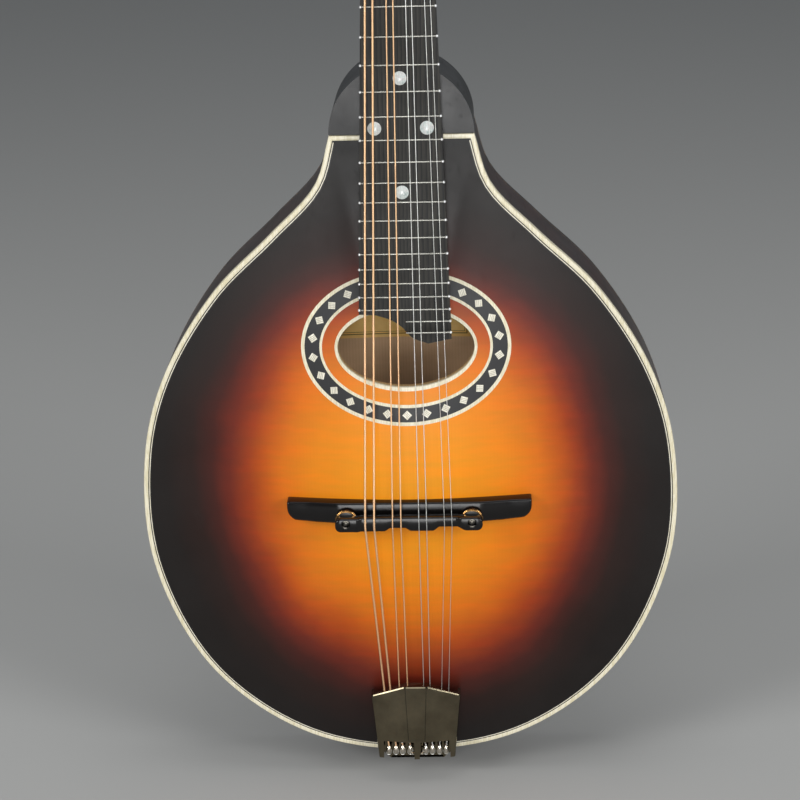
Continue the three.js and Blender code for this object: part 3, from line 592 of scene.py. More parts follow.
@dataclass(frozen=True)
class Burst(Grained):
    """A burst: shades laid in rings round a centre, over the grain."""

    centre: tuple[float, float] = (0.0, 0.1555)
    reach: tuple[float, float] = (0.081, 0.0955)
    shades: tuple[tuple[float, str], ...] = ()
    flame: float = 0.0

    def paint(self, n: Nodes, shader: bpy.types.Node, place: bpy.types.NodeSocket) -> None:
        """Spray the rings, unevenly, and let the grain show where they are thin."""
        grain = self.grain(n, place)
        marks = self.marks(n, place)
        parts = n.add("SeparateXYZ", Vector=place)
        across = n.sum("DIVIDE", n.sum("SUBTRACT", parts.outputs[0], self.centre[0]), self.reach[0])
        along = n.sum("DIVIDE", n.sum("SUBTRACT", parts.outputs[2], self.centre[1]), self.reach[1])
        far = n.sum("POWER", n.sum("ADD", n.sum("POWER", across, 2.0), n.sum("POWER", along, 2.0)), 0.5)
        cloud = n.add("TexNoise", Vector=place, Scale=22.0, Detail=4.0, Roughness=0.55).outputs[0]
        uneven = n.sum("MULTIPLY", n.sum("SUBTRACT", cloud, 0.5), 0.16)
        spray = n.sum("MULTIPLY", n.sum("ADD", far, uneven), 0.5)
        colour = n.ramp(spray, [(place_ * 0.5, shade) for place_, shade in self.shades])
        thin = n.ramp(spray, [(0.0, 1.0), (0.4, 0.8), (0.62, 0.1)])
        lines = n.sum("MULTIPLY", n.sum("MULTIPLY", grain.outputs["Lines"], thin), self.depth)
        toned = n.mix(lines, colour, linear(self.second), "MULTIPLY")
        glow = n.sum("MULTIPLY", n.sum("MULTIPLY", grain.outputs["Silk"], thin), self.silk)
        toned = n.mix(glow, toned, linear("ffb84a"), "SOFT_LIGHT")
        if self.flame:
            bands = n.add("Mapping", Vector=place, Scale=(0.18, 0.3, 1.0))
            curl = n.add("TexNoise", Vector=bands.outputs[0], Scale=150.0, Detail=2.0, Distortion=0.6)
            curl = n.ramp(curl.outputs[0], [(0.38, 0.0), (0.62, 1.0)])
            toned = n.mix(n.sum("MULTIPLY", curl, self.flame), toned, linear("2a0f08"), "MULTIPLY")
        self.surface(n, shader, toned, marks, grain.outputs["Lines"])


@dataclass(frozen=True)
class Shell(Finish):
    """Mother-of-pearl: cloudy, faintly coloured layers under a polish."""

    def paint(self, n: Nodes, shader: bpy.types.Node, place: bpy.types.NodeSocket) -> None:
        """Lay pink, green and grey clouds over the white."""
        marks = self.marks(n, place)
        cloud = n.add("TexNoise", Vector=place, Scale=420.0, Detail=3.0, Distortion=1.4)
        tint = n.ramp(cloud.outputs[0],
                      [(0.3, "9aa5a4"), (0.45, "c9cfca"), (0.56, "bcb7b6"), (0.7, "dadbd2")])
        layer = n.add("TexWave", Vector=place, Scale=320.0, Distortion=7.0, Detail=2.0).outputs[1]
        tint = n.mix(n.sum("MULTIPLY", layer, 0.3), tint, linear("8a989a"))
        self.surface(n, shader, tint, marks, layer)


@dataclass(frozen=True)
class Lined(Finish):
    """Grained celluloid: parallel paler and darker layers."""

    spacing: float = 1500.0

    def paint(self, n: Nodes, shader: bpy.types.Node, place: bpy.types.NodeSocket) -> None:
        """Draw the layers across the piece."""
        marks = self.marks(n, place)
        tilt = n.add("Mapping", Vector=place, Rotation=(0.2, 0.35, 0.1), Scale=(1, 1, 0.12))
        layer = n.add("TexNoise", Vector=tilt.outputs[0], Scale=self.spacing, Detail=2.0).outputs[0]
        tone = n.mix(n.ramp(layer, [(0.4, 0.0), (0.62, 1.0)]), linear(self.colour), linear(self.second))
        self.surface(n, shader, tone, marks, layer)


@dataclass(frozen=True)
class Wound(Finish):
    """A wound string: close turns of wrap wire along the length."""

    pitch: float = 0.00032

    def paint(self, n: Nodes, shader: bpy.types.Node, place: bpy.types.NodeSocket) -> None:
        """Paint shade into the grooves between the turns and raise their crowns."""
        marks = self.marks(n, place)
        parts = n.add("SeparateXYZ", Vector=place)
        turn = n.sum("SINE", n.sum("MULTIPLY", parts.outputs[2], 2 * math.pi / self.pitch), 0.0)
        crown = n.add("MapRange", in0=turn, in1=-1.0, in2=1.0, in3=0.0, in4=1.0).outputs[0]
        # Painted shade: the grooves between the turns take the darker second colour.
        tone = n.mix(crown, linear(self.second), linear(self.colour))
        self.surface(n, shader, tone, marks, crown)


@dataclass(frozen=True)
class Brushed(Finish):
    """Metal with fine polishing lines and darker tarnish in the smudges, which on the darkened tailpiece nickel is
    painted reflection.
    """

    def paint(self, n: Nodes, shader: bpy.types.Node, place: bpy.types.NodeSocket) -> None:
        """Darken the colour in the smudges, as tarnish and, on the darkened tailpiece nickel, as painted
        reflection; draw the polishing lines.
        """
        marks = self.marks(n, place)
        run = n.add("Mapping", Vector=place, Scale=(1, 1, 0.05))
        lines = n.add("TexNoise", Vector=run.outputs[0], Scale=2600.0, Detail=3.0).outputs[0]
        tarnish_and_reflection_clouds = n.sum("MULTIPLY", marks.outputs["Smudge"], 0.55)
        tone = n.mix(tarnish_and_reflection_clouds, linear(self.colour), linear(self.second))
        tone = n.mix(n.sum("MULTIPLY", lines, 0.12), tone, linear(self.second))
        self.surface(n, shader, tone, marks, lines)


TOP_SHADES = (
    (0.0, "e39414"), (0.3, "e08d10"), (0.56, "d67e10"), (0.75, "c4690f"), (0.87, "a84e0e"),
    (0.96, "883510"), (1.06, "5f2012"), (1.16, "3a150f"), (1.27, "21110d"), (1.42, "130d0b"), (1.7, "0c0b0a"),
)
BACK_SHADES = (
    (0.0, "6d3213"), (0.35, "62290f"), (0.6, "4c1c0d"), (0.8, "351209"), (0.95, "220c08"),
    (1.12, "170a07"), (1.4, "0e0807"), (1.8, "0b0808"),
)

SUNBURST = Burst("sunburst over spruce", "sunburst_top", "d98412", "b98a58", rough=(0.30, 0.42), bump=0.02,
                 shades=TOP_SHADES, depth=0.1, silk=0.45, lines=610.0, wander=0.0035, specular=0.3)
DARK_MAPLE = Burst("dark burst over flamed maple", "dark_maple", "62290f", "a08070", rough=(0.28, 0.4), bump=0.015,
                   shades=BACK_SHADES, depth=0.3, silk=0.1, flame=0.6, centre=(0.0, 0.150),
                   reach=(0.095, 0.115))
SIDE_MAPLE = Burst("dark brown flamed sides", "dark_maple", "2a100a", "a08070", rough=(0.28, 0.4), bump=0.015,
                   shades=((0.0, "2c110a"), (1.0, "26100a"), (1.5, "2c110a"), (1.9, "160a08")), depth=0.3, silk=0.1,
                   flame=0.55)
BLACK_MAPLE = Grained("black lacquer on maple", "black_maple", "121213", "0b0b0c", rough=(0.30, 0.42),
                      depth=0.3, silk=0.02, bump=0.012, lines=300.0)
EBONY = Grained("oiled ebony", "ebony", "3a372f", "030303", rough=(0.36, 0.5), depth=0.75, silk=0.0,
                specular=0.25, bump=0.06, lines=460.0, fibre=1900.0, wander=0.03)
BRIDGE_EBONY = Grained("polished ebony", "ebony", "110f0f", "050404", rough=(0.12, 0.24), depth=0.5,
                       silk=0.0, specular=0.33, bump=0.02, lines=500.0, fibre=1500.0)
SPRUCE = Grained("bare spruce", "spruce_inside", "c9a878", "a27a48", rough=(0.6, 0.75), depth=0.45, silk=0.1,
                 bump=0.12)
INNER_MAPLE = Grained("bare maple inside", "dark_maple", "e2bf98", "c09468", rough=(0.55, 0.7), depth=0.3,
                      silk=0.06, bump=0.08)
MAHOGANY = Grained("bare lining wood", "spruce_inside", "b98c60", "8a5f38", rough=(0.6, 0.75), depth=0.4,
                   silk=0.05, bump=0.12)
IVOROID = Lined("cream celluloid", "ivoroid", "ddd6bf", "cdc4a4", rough=(0.22, 0.34), bump=0.01, coat=0.1)
STONE = Lined("laminated squares", "ivoroid", "e4e0d0", "d2cdba", rough=(0.2, 0.3), bump=0.01, coat=0.2)
STONE_LINE = Finish("dark layer in the stone", "rosette", "8f8d80", "7a7868", rough=(0.3, 0.4), bump=0.01)
WHITE_LINE = Lined("white line", "ivoroid", "dcd6c4", "c9c1aa", rough=(0.25, 0.36), bump=0.01)
BLACK_LINE = Finish("black line", "rosette", "0b0b0c", "111112", rough=(0.3, 0.42), bump=0.01)
INLAY_BLACK = Grained("black inlay band", "rosette", "17181b", "0d0e10", rough=(0.3, 0.42), depth=0.4, silk=0.02,
                      bump=0.01)
PEARL = Shell("mother-of-pearl", "ivoroid", "e9ebe6", rough=(0.12, 0.22), bump=0.01, coat=0.4)
# Painted reflection: the tailpiece's nickel takes a dark olive colour, with darker clouds in the smudges, standing
# for the dark room mirrored in it; the hooks and screws of the same metal keep NICKEL.
REFLECTION_DARK_NICKEL = Brushed("polished dark nickel", "dark_nickel", "7d7561", "221d14", rough=(0.07, 0.14), metallic=1.0,
                      bump=0.008, smudge=60.0)
NICKEL = Brushed("polished nickel", "nickel", "d4cdc0", "a79f90", rough=(0.12, 0.22), metallic=1.0, bump=0.01,
                 smudge=90.0)
STEEL = Brushed("bright steel", "steel", "f4f4f0", "d2d2ce", rough=(0.3, 0.4), metallic=1.0, bump=0.01,
                smudge=120.0)
FRET_STEEL = Brushed("fret wire", "steel", "b9b8b0", "8a8983", rough=(0.2, 0.3), metallic=1.0, bump=0.01,
                     smudge=150.0)
# Painted highlight: the fret ends are the fret wire's own metal, coloured near-white to stand for the glints on
# them.
FRET_END_HIGHLIGHT = Brushed("polished fret ends", "steel", "ffffff", "e4e4e2", rough=(0.25, 0.35), metallic=0.6,
                     bump=0.01, smudge=150.0)
# The second colour is painted shade in the grooves between the turns.
BRONZE = Wound("bronze winding", "bronze_wound", "ffe0b8", "e0a874", rough=(0.38, 0.5), metallic=1.0, bump=0.25,
               smudge=120.0)
BRASS = Brushed("polished brass", "brass", "c79a62", "86633a", rough=(0.15, 0.26), metallic=1.0, bump=0.02,
                smudge=150.0)
PAPER = Finish("label paper", "spruce_inside", "fbd384", "e8b95e", rough=(0.7, 0.85), bump=0.12, smudge=60.0)
PAPER_LINE = Finish("label border", "spruce_inside", "8a6a2c", "7c5c22", rough=(0.6, 0.75), bump=0.05)


# ------------------------------------------------------------------ body shape
@dataclass(frozen=True)
class BodyShape:
    """The body's outline and arch, in millimetres."""

    tail_z: float = 12.0
    neck_line_z: float = 320.0
    front_y: float = -22.0
    back_y: float = 22.0
    arch: float = 12.0
    arch_centre: float = 158.0
    crown: tuple[float, float] = (112.0, 132.0)
    half_widths: tuple[tuple[float, float], ...] = (
        (0, 0), (10, 52.8), (45, 98.1), (100, 123.6), (155, 125.4), (195, 114.2), (235, 89.2), (262, 61.8),
        (285, 40.2), (308, 33),
    )
    steps: int = 72

    def _curve(self) -> tuple[np.ndarray, np.ndarray]:
        """Points and unit tangents up one side, from the tail to the neck."""
        side = [(w, self.tail_z + h) for h, w in self.half_widths]
        knots = np.array([(-x, z) for x, z in side[:0:-1]] + side, float)
        first = len(knots) // 2
        found = []
        for i in range(first, len(knots) - 1):
            before = knots[i - 1]
            after = knots[i + 2] if i + 2 < len(knots) else 2 * knots[i + 1] - knots[i]
            spans = [np.linalg.norm(b - a) ** 0.5 for a, b in
                     ((before, knots[i]), (knots[i], knots[i + 1]), (knots[i + 1], after))]
            s0, s1, s2 = spans
            p0, p1, p2, p3 = before, knots[i], knots[i + 1], after
            m1 = ((p1 - p0) / s0 - (p2 - p0) / (s0 + s1) + (p2 - p1) / s1) * s1
            m2 = ((p2 - p1) / s1 - (p3 - p1) / (s1 + s2) + (p3 - p2) / s2) * s1
            for t in np.linspace(0, 1, 24, endpoint=i == len(knots) - 2):
                found.append(p1 + m1 * t + (3 * (p2 - p1) - 2 * m1 - m2) * t * t
                             + (2 * (p1 - p2) + m1 + m2) * t ** 3)
        points = np.array(found)
        tangents = np.gradient(points, axis=0)
        tangents[0] = (1, 0)
        return points, tangents / np.linalg.norm(tangents, axis=1, keepdims=True)

    def side(self, inset: float, extra_top: float = 0.0) -> np.ndarray:
        """One side's outline, set in, with even spacing.

        Args:
            inset: how far inside the body's edge.
            extra_top: how far below the inset neck line it ends.

        Returns:
            Rows of x and z from the tail's centre upwards.
        """
        points, tangents = self._curve()
        moved = points + np.stack([-tangents[:, 1], tangents[:, 0]], axis=1) * inset
        moved[0, 0] = 0
        top = self.neck_line_z - inset - extra_top
        moved = moved[moved[:, 1] < top - 0.3]
        last = moved[-1] + (moved[-1] - moved[-2]) * ((top - moved[-1, 1]) / (moved[-1, 1] - moved[-2, 1]))
        moved = np.vstack([moved, last])
        run = np.concatenate([[0], np.cumsum(np.linalg.norm(np.diff(moved, axis=0), axis=1))])
        even = np.linspace(0, run[-1], self.steps)
        return np.stack([np.interp(even, run, moved[:, k]) for k in (0, 1)], axis=1)

    def outline(self, inset: float, line_steps: int = 12) -> np.ndarray:
        """The whole outline, anticlockwise from the tail, as rows of x and z."""
        side = self.side(inset)
        corner, top = side[-1]
        across = corner * (1 - 2 * np.arange(1, line_steps) / line_steps)
        line = np.stack([across, np.full(len(across), top)], axis=1)
        left = side[:0:-1] * (-1, 1)
        return np.vstack([side, line, left])

    def height(self, x: np.ndarray, z: np.ndarray, inset: float = 2.6) -> np.ndarray:
        """How far the arch stands proud of the edge at a place.

        Args:
            x: across, in millimetres.
            z: along, in millimetres.
            inset: the plate's own inset from the body's edge.

        Returns:
            The rise in millimetres.
        """
        edge = self.outline(inset)
        dx, dz = edge[:, 0], edge[:, 1] - self.arch_centre
        angles = np.arctan2(dz, dx)
        order = np.argsort(angles)
        angles, radii = angles[order], np.hypot(dx, dz)[order]
        x, z = np.asarray(x, float), np.asarray(z, float) - self.arch_centre
        aim = np.arctan2(z, x)
        reach = np.interp(aim, angles, radii, period=2 * math.pi)
        share = np.hypot(x, z) / reach
        ex, ez = reach * np.cos(aim), reach * np.sin(aim)
        rounded = 1 / np.hypot(ex / self.crown[0], ez / self.crown[1])
        low, high = np.zeros_like(share), np.ones_like(share)
        for _ in range(30):
            middle = (low + high) / 2
            above = middle * (rounded + (1 - rounded) * middle ** 2) > share
            high, low = np.where(above, middle, high), np.where(above, low, middle)
        s = (low + high) / 2
        return self.arch * (1 + np.cos(math.pi * np.minimum(s, 1))) / 2

    def top_y(self, x: np.ndarray, z: np.ndarray) -> np.ndarray:
        """The soundboard's face at a place."""
        return self.front_y - self.height(x, z)


SHAPE = BodyShape()
HOLE_CENTRE = 221.2
INNER_RISE = 11.1 / 12      # a plate's inner arch against its outer one
PLATE = 3.6                 # a plate's thickness at its edge
SADDLE_LINE = 143.0         # where the scale starts
POST_X = 20.0
POST_HEIGHTS = (29.0, 52.0, 75.0, 98.0)


def at_depth(plan: np.ndarray, y: float | np.ndarray) -> np.ndarray:
    """Give plan points of x and z a Y, as one value or one for each."""
    return np.stack([plan[:, 0], np.full(len(plan), y), plan[:, 1]], axis=1)


def on_top(plan: np.ndarray, lift: float) -> np.ndarray:
    """Lay plan points on the soundboard's face.

    Args:
        plan: x and z in millimetres.
        lift: how far above the face, towards the player's eye.

    Returns:
        Points with all three axes.
    """
    return at_depth(plan, SHAPE.top_y(plan[:, 0], plan[:, 1]) - lift)


def oval(half: tuple[float, float], turn: np.ndarray) -> np.ndarray:
    """Points on an oval round the soundhole's centre, as x and z."""
    return np.stack([np.cos(turn) * half[0], np.sin(turn) * half[1] + HOLE_CENTRE], axis=1)


@dataclass
class Soundbox:
    """The top, back, sides, bindings, rosette, lining and label."""

    hole: tuple[float, float] = (31.6, 18.1)
    hole_binding: tuple[float, float] = (33.1, 20.2)
    rosette_bands: tuple[tuple[float, float], ...] = (
        (39.0, 26.6), (40.2, 28.1), (47.15, 34.9), (48.75, 36.6),
    )
    diamonds: int = 26
    diamond_half: float = 2.25
    binding: float = 2.3
    rib: float = 2.0
    around: int = 180

    def build(self) -> None:
        """Make every piece of the soundbox."""
        self.top()
        self.back()
        self.edge_binding()
        self.purfling()
        self.rosette()
        self.ribs()
        self.inside()
        self.label()

    def top(self) -> None:
        """The carved top, with its soundhole, as one closed plate."""
        edge = SHAPE.outline(self.binding)
        turn = np.unwrap(np.arctan2((edge[:, 1] - HOLE_CENTRE) * 0.9, edge[:, 0]))
        hole = oval((self.hole_binding[0] - 0.3, self.hole_binding[1] - 0.3), turn)
        steps = np.linspace(0, 1, 44)
        sections = []
        for k in steps:
            plan = edge * (1 - k) + hole * k
            sections.append(on_top(plan, 0))
        for k in steps[::-6]:
            plan = edge * (1 - k) + hole * k
            rise = SHAPE.height(plan[:, 0], plan[:, 1])
            y = SHAPE.front_y - rise * INNER_RISE + PLATE
            sections.append(at_depth(plan, y))
        piece = loft("soundboard.carved", np.array(sections).transpose(1, 0, 2), closed=True, angle=40)
        dress(piece, SUNBURST)
        bare_inside(piece, 1, SPRUCE)
        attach(piece, "root")
        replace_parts(piece, "soundboard")

    def back(self) -> None:
        """The carved back, closed at its crown."""
        edge = SHAPE.outline(0.09)
        centre = np.array([0, SHAPE.arch_centre])
        sections = []
        for k in np.concatenate([[0, 0.004], np.linspace(0.02, 1, 34)]):
            plan = edge * (1 - k) + centre * k
            rise = SHAPE.height(plan[:, 0] * 0.999, plan[:, 1], inset=0.0)
            y = SHAPE.back_y + np.where(k < 0.003, -0.5, rise * 0.979)
            sections.append(at_depth(plan, y))
        for k in np.linspace(1, 0, 8):
            plan = edge * (1 - k) + centre * k
            rise = SHAPE.height(plan[:, 0], plan[:, 1], inset=0.0)
            y = SHAPE.back_y + rise * INNER_RISE - PLATE
            sections.append(at_depth(plan, y))
        piece = loft("back.carved", np.array(sections).transpose(1, 0, 2), closed=True, angle=40)
        dress(piece, DARK_MAPLE)
        bare_inside(piece, -1, INNER_MAPLE)
        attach(piece, "root")
        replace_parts(piece, "back_plate")

    def band(self, name: str, profile: Sequence[tuple[float, float]], closed: bool = True,
             lower: float = 0.0) -> bpy.types.Object:
        """A strip that follows the body's outline.

        Args:
            name: the piece's name.
            profile: inset and Y of the strip's section.
            closed: whether it also crosses the neck line.
            lower: how far below the neck line an open strip stops.

        Returns:
            The strip.
        """
        rails = []
        for inset, y in profile:
            if closed:
                plan = SHAPE.outline(inset)
            else:
                side = SHAPE.side(inset, lower)
                plan = np.vstack([side[::-1], side[1:] * (-1, 1)])
            rails.append(at_depth(plan, y))
        return loft(name, np.array(rails).transpose(1, 0, 2), closed=closed, angle=32)

    def edge_binding(self) -> None:
        """The cream binding with a scraped, softly rounded edge."""
        y = SHAPE.front_y
        profile = [(0.1, y + 3.98), (0.1, y + 0.7), (0.18, y + 0.3), (0.35, y + 0.08), (0.7, y + 0.0),
                   (1.6, y + 0.0), (2.1, y + 0.03), (2.34, y + 0.12), (2.34, y + 3.98)]
        piece = dress(self.band("top_binding.scraped", profile), IVOROID)
        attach(piece, "root")
        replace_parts(piece, "top_binding")

    def purfling(self) -> None:
        """Black, white and black lines inside the binding, from cheek to cheek."""
        y = SHAPE.front_y
        lines = [("purfling.outer_black", 2.3, 0.42, BLACK_LINE), ("purfling.white", 2.72, 0.42, WHITE_LINE),
                 ("purfling.inner_black", 3.14, 0.5, BLACK_LINE)]
        for name, inset, width, finish in lines:
            profile = [(inset, y + 0.4), (inset, y - 0.04),
                       (inset + width, y - 0.05), (inset + width, y + 0.4)]
            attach(dress(self.band(name, profile, closed=False, lower=0.2), finish), "root")

    def oval_band(self, name: str, inner: tuple[float, float], outer: tuple[float, float], lift: float,
                  depth: float, finish: Finish, rounded: float = 0.0) -> bpy.types.Object:
        """An inlaid oval band that follows the arch.

        Args:
            name: the piece's name.
            inner: half sizes of its inner edge.
            outer: half sizes of its outer edge.
            lift: how proud it stands.
            depth: how deep it goes.
            finish: its finish.
            rounded: how much its inner edge is eased.

        Returns:
            The band.
        """
        turn = np.linspace(0, 2 * math.pi, self.around, endpoint=False)
        sections = []
        steps = ((0, -depth), (0, lift - rounded), (0.12, lift), (0.5, lift), (1, lift), (1, -depth))
        for share, height in steps:
            half = tuple(a + (b - a) * share for a, b in zip(inner, outer))
            sections.append(on_top(oval(half, turn), height))
        piece = loft(name, np.array(sections).transpose(1, 0, 2), closed=True, angle=32)
        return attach(dress(piece, finish), "root")

    def rosette(self) -> None:
        """The soundhole's binding and bare edge, and the black ring with its stones."""
        a, b, c, d = self.rosette_bands
        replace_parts(self.oval_band("soundhole_binding.scraped", self.hole, self.hole_binding,
                                   0.02, 1.2, IVOROID, 0.5), "soundhole_binding")
        self.oval_band("soundhole.bare_edge", self.hole, self.hole_binding, -1.2, 3.9, SPRUCE)
        self.oval_band("rosette.inner_line", a, b, 0.05, 1.2, IVOROID)
        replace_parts(self.oval_band("rosette.black", b, c, 0.03, 1.2, INLAY_BLACK), "rosette_ring")
        self.oval_band("rosette.outer_line", c, d, 0.05, 1.2, IVOROID)
        middle = ((b[0] + c[0]) / 2, (b[1] + c[1]) / 2)
        fine = np.linspace(-math.pi / 2, 3 * math.pi / 2, 2000)
        path = oval(middle, fine)
        run = np.concatenate([[0], np.cumsum(np.linalg.norm(np.diff(path, axis=0), axis=1))])
        stones, cuts = [], []
        for i in range(self.diamonds):
            turn = float(np.interp(run[-1] * i / self.diamonds, run, fine))
            stones.append(self.diamond(f"diamond.{i:02d}", middle, turn))
            cuts += self.stone_lines(f"diamond_line.{i:02d}", middle, turn)
        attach(dress(joined("rosette.diamonds", stones), STONE), "root")
        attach(dress(joined("rosette.diamond_lines", cuts), STONE_LINE), "root")

    def stone_lines(self, name: str, middle: tuple[float, float], turn: float) -> list[bpy.types.Object]:
        """The dark layers that show in one laminated stone.

        Args:
            name: the start of the lines' names.
            middle: half sizes of the oval that the stone sits on.
            turn: its angle round the oval.

        Returns:
            The lines.
        """
        centre = oval(middle, np.array([turn]))[0]
        out = np.array([math.cos(turn) / middle[0], math.sin(turn) / middle[1]])
        out /= np.linalg.norm(out)
        side = np.array([-out[1], out[0]])
        along, across = (out + side) / math.sqrt(2), (out - side) / math.sqrt(2)
        reach = self.diamond_half / math.sqrt(2) * 0.93
        lines = []
        for k in (-0.5, 0.0, 0.5):
            rings = []
            for lift in (0.05, 0.125):
                corners = [centre + across * (k * reach + w) + along * reach * e
                           for w, e in ((-0.09, -1), (0.09, -1), (0.09, 1), (-0.09, 1))]
                rings.append(on_top(np.array(corners), lift))
            lines.append(loft(f"{name}.{k}", np.array(rings), angle=20))
        return lines

    def diamond(self, name: str, middle: tuple[float, float], turn: float) -> bpy.types.Object:
        """One square stone set corner to corner.

        Args:
            name: the stone's name.
            middle: half sizes of the oval that it sits on.
            turn: its angle round the oval.

        Returns:
            The stone.
        """
        centre = oval(middle, np.array([turn]))[0]
        out = np.array([math.cos(turn) / middle[0], math.sin(turn) / middle[1]])
        out /= np.linalg.norm(out)
        side = np.array([-out[1], out[0]])
        low = []
        for share, height in ((1.0, 0.0), (1.0, 0.07), (0.95, 0.1), (0.02, 0.1)):
            corners = [centre + (out * math.cos(q) + side * math.sin(q)) * self.diamond_half * share
                       for q in (0, math.pi / 2, math.pi, 3 * math.pi / 2)]
            low.append(on_top(np.array(corners), height))
        return loft(name, np.array(low), angle=20)

    def ribs(self) -> None:
        """The bent sides, dark outside and bare inside."""
        y0, y1 = SHAPE.front_y + 3.9, SHAPE.back_y - 0.2
        for hand in Hand:
            outer, inner = SHAPE.side(0.11, 0.3), SHAPE.side(self.rib, -1.7)
            rails = []
            for plan, y in ((outer, y0), (outer, y1), (inner, y1), (inner, y0)):
                plan = plan * (hand.value, 1)
                rails.append(at_depth(plan, y))
            piece = loft(f"rib.{hand.label}", np.array(rails).transpose(1, 0, 2), angle=32)
            dress(piece, SIDE_MAPLE)
            piece.data.materials.append(SPRUCE.material())
            for face in piece.data.polygons:
                x, _, z = face.center / MM
                inside = face.normal.x * x + face.normal.z * (z - SHAPE.arch_centre) < 0
                face.material_index = 1 if inside and abs(face.normal.y) < 0.5 else 0
            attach(piece, "root")
            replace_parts(piece, f"rib_{hand.label}")

    def inside(self) -> None:
        """Blocks, brace and kerfed lining, seen through the soundhole."""
        for node in ("head_block", "tail_block", "cross_brace"):
            dress(refined(node, 0.4), SPRUCE)
        for hand in Hand:
            for level, y in (("front", -17.7), ("back", 9.9)):
                name = f"lining_{level}_{hand.label}"
                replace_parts(self.kerfed(name + ".kerfed", hand, y, y + 8), name)

    def kerfed(self, name: str, hand: Hand, y0: float, y1: float) -> bpy.types.Object:
        """One strip of lining, sawn part way through at every few millimetres.

        Args:
            name: the piece's name.
            hand: which side it lines.
            y0: its lower Y.
            y1: its upper Y.

        Returns:
            The strip.
        """
        outer, inner = SHAPE.side(2.3), SHAPE.side(7.3)
        inner_kerf = SHAPE.side(3.6)
        keep = (outer[:, 1] > 40) & (outer[:, 1] < 276)
        rings = []
        for i in np.nonzero(keep)[0]:
            for shift, kerf in ((0.0, False), (0.72, False), (0.74, True), (0.98, True)):
                j = min(i + 1, len(outer) - 1)
                a = outer[i] * (1 - shift) + outer[j] * shift
                source = inner_kerf if kerf else inner
                b = source[i] * (1 - shift) + source[j] * shift
                ring = [(a[0], y0, a[1]), (a[0], y1, a[1]), (b[0], y1, b[1]), (b[0], y0, b[1])]
                rings.append([(hand.value * x, y, z) for x, y, z in ring])
        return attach(dress(loft(name, np.array(rings), angle=25), MAHOGANY), "root")

    def label(self) -> None:
        """A blank paper label with a double border, glued inside the back."""
        x0, x1, z0, z1 = -35.0, 30.0, 210.5, 250.0

        def sheet(name: str, lo: tuple[float, float], hi: tuple[float, float],
                  lift: float) -> bpy.types.Object:
            columns = np.linspace(lo[0], hi[0], 17)
            rings = []
            for x in columns:
                ring = []
                for z, rise in ((lo[1], 0.0), (hi[1], 0.0), (hi[1], 0.12), (lo[1], 0.12)):
                    bulge = float(SHAPE.height(np.array([x]), np.array([z]), inset=0.0)[0])
                    ring.append((x, SHAPE.back_y + bulge * INNER_RISE - 3.65 - lift - rise, z))
                rings.append(ring)
            return loft(name, np.array(rings), angle=30)

        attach(dress(sheet("label.paper", (x0, z0), (x1, z1), 0.0), PAPER), "root")
        lines = []
        for inset, width in ((1.6, 0.5), (2.8, 0.25)):
            a, b, c, d = x0 + inset, x1 - inset, z0 + inset, z1 - inset
            for i, (lo, hi) in enumerate((((a, c), (b, c + width)), ((a, d - width), (b, d)),
                                          ((a, c), (a + width, d)), ((b - width, c), (b, d)))):
                lines.append(sheet(f"label.line.{inset}.{i}", lo, hi, 0.12))
        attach(dress(joined("label.border", lines), PAPER_LINE), "root")


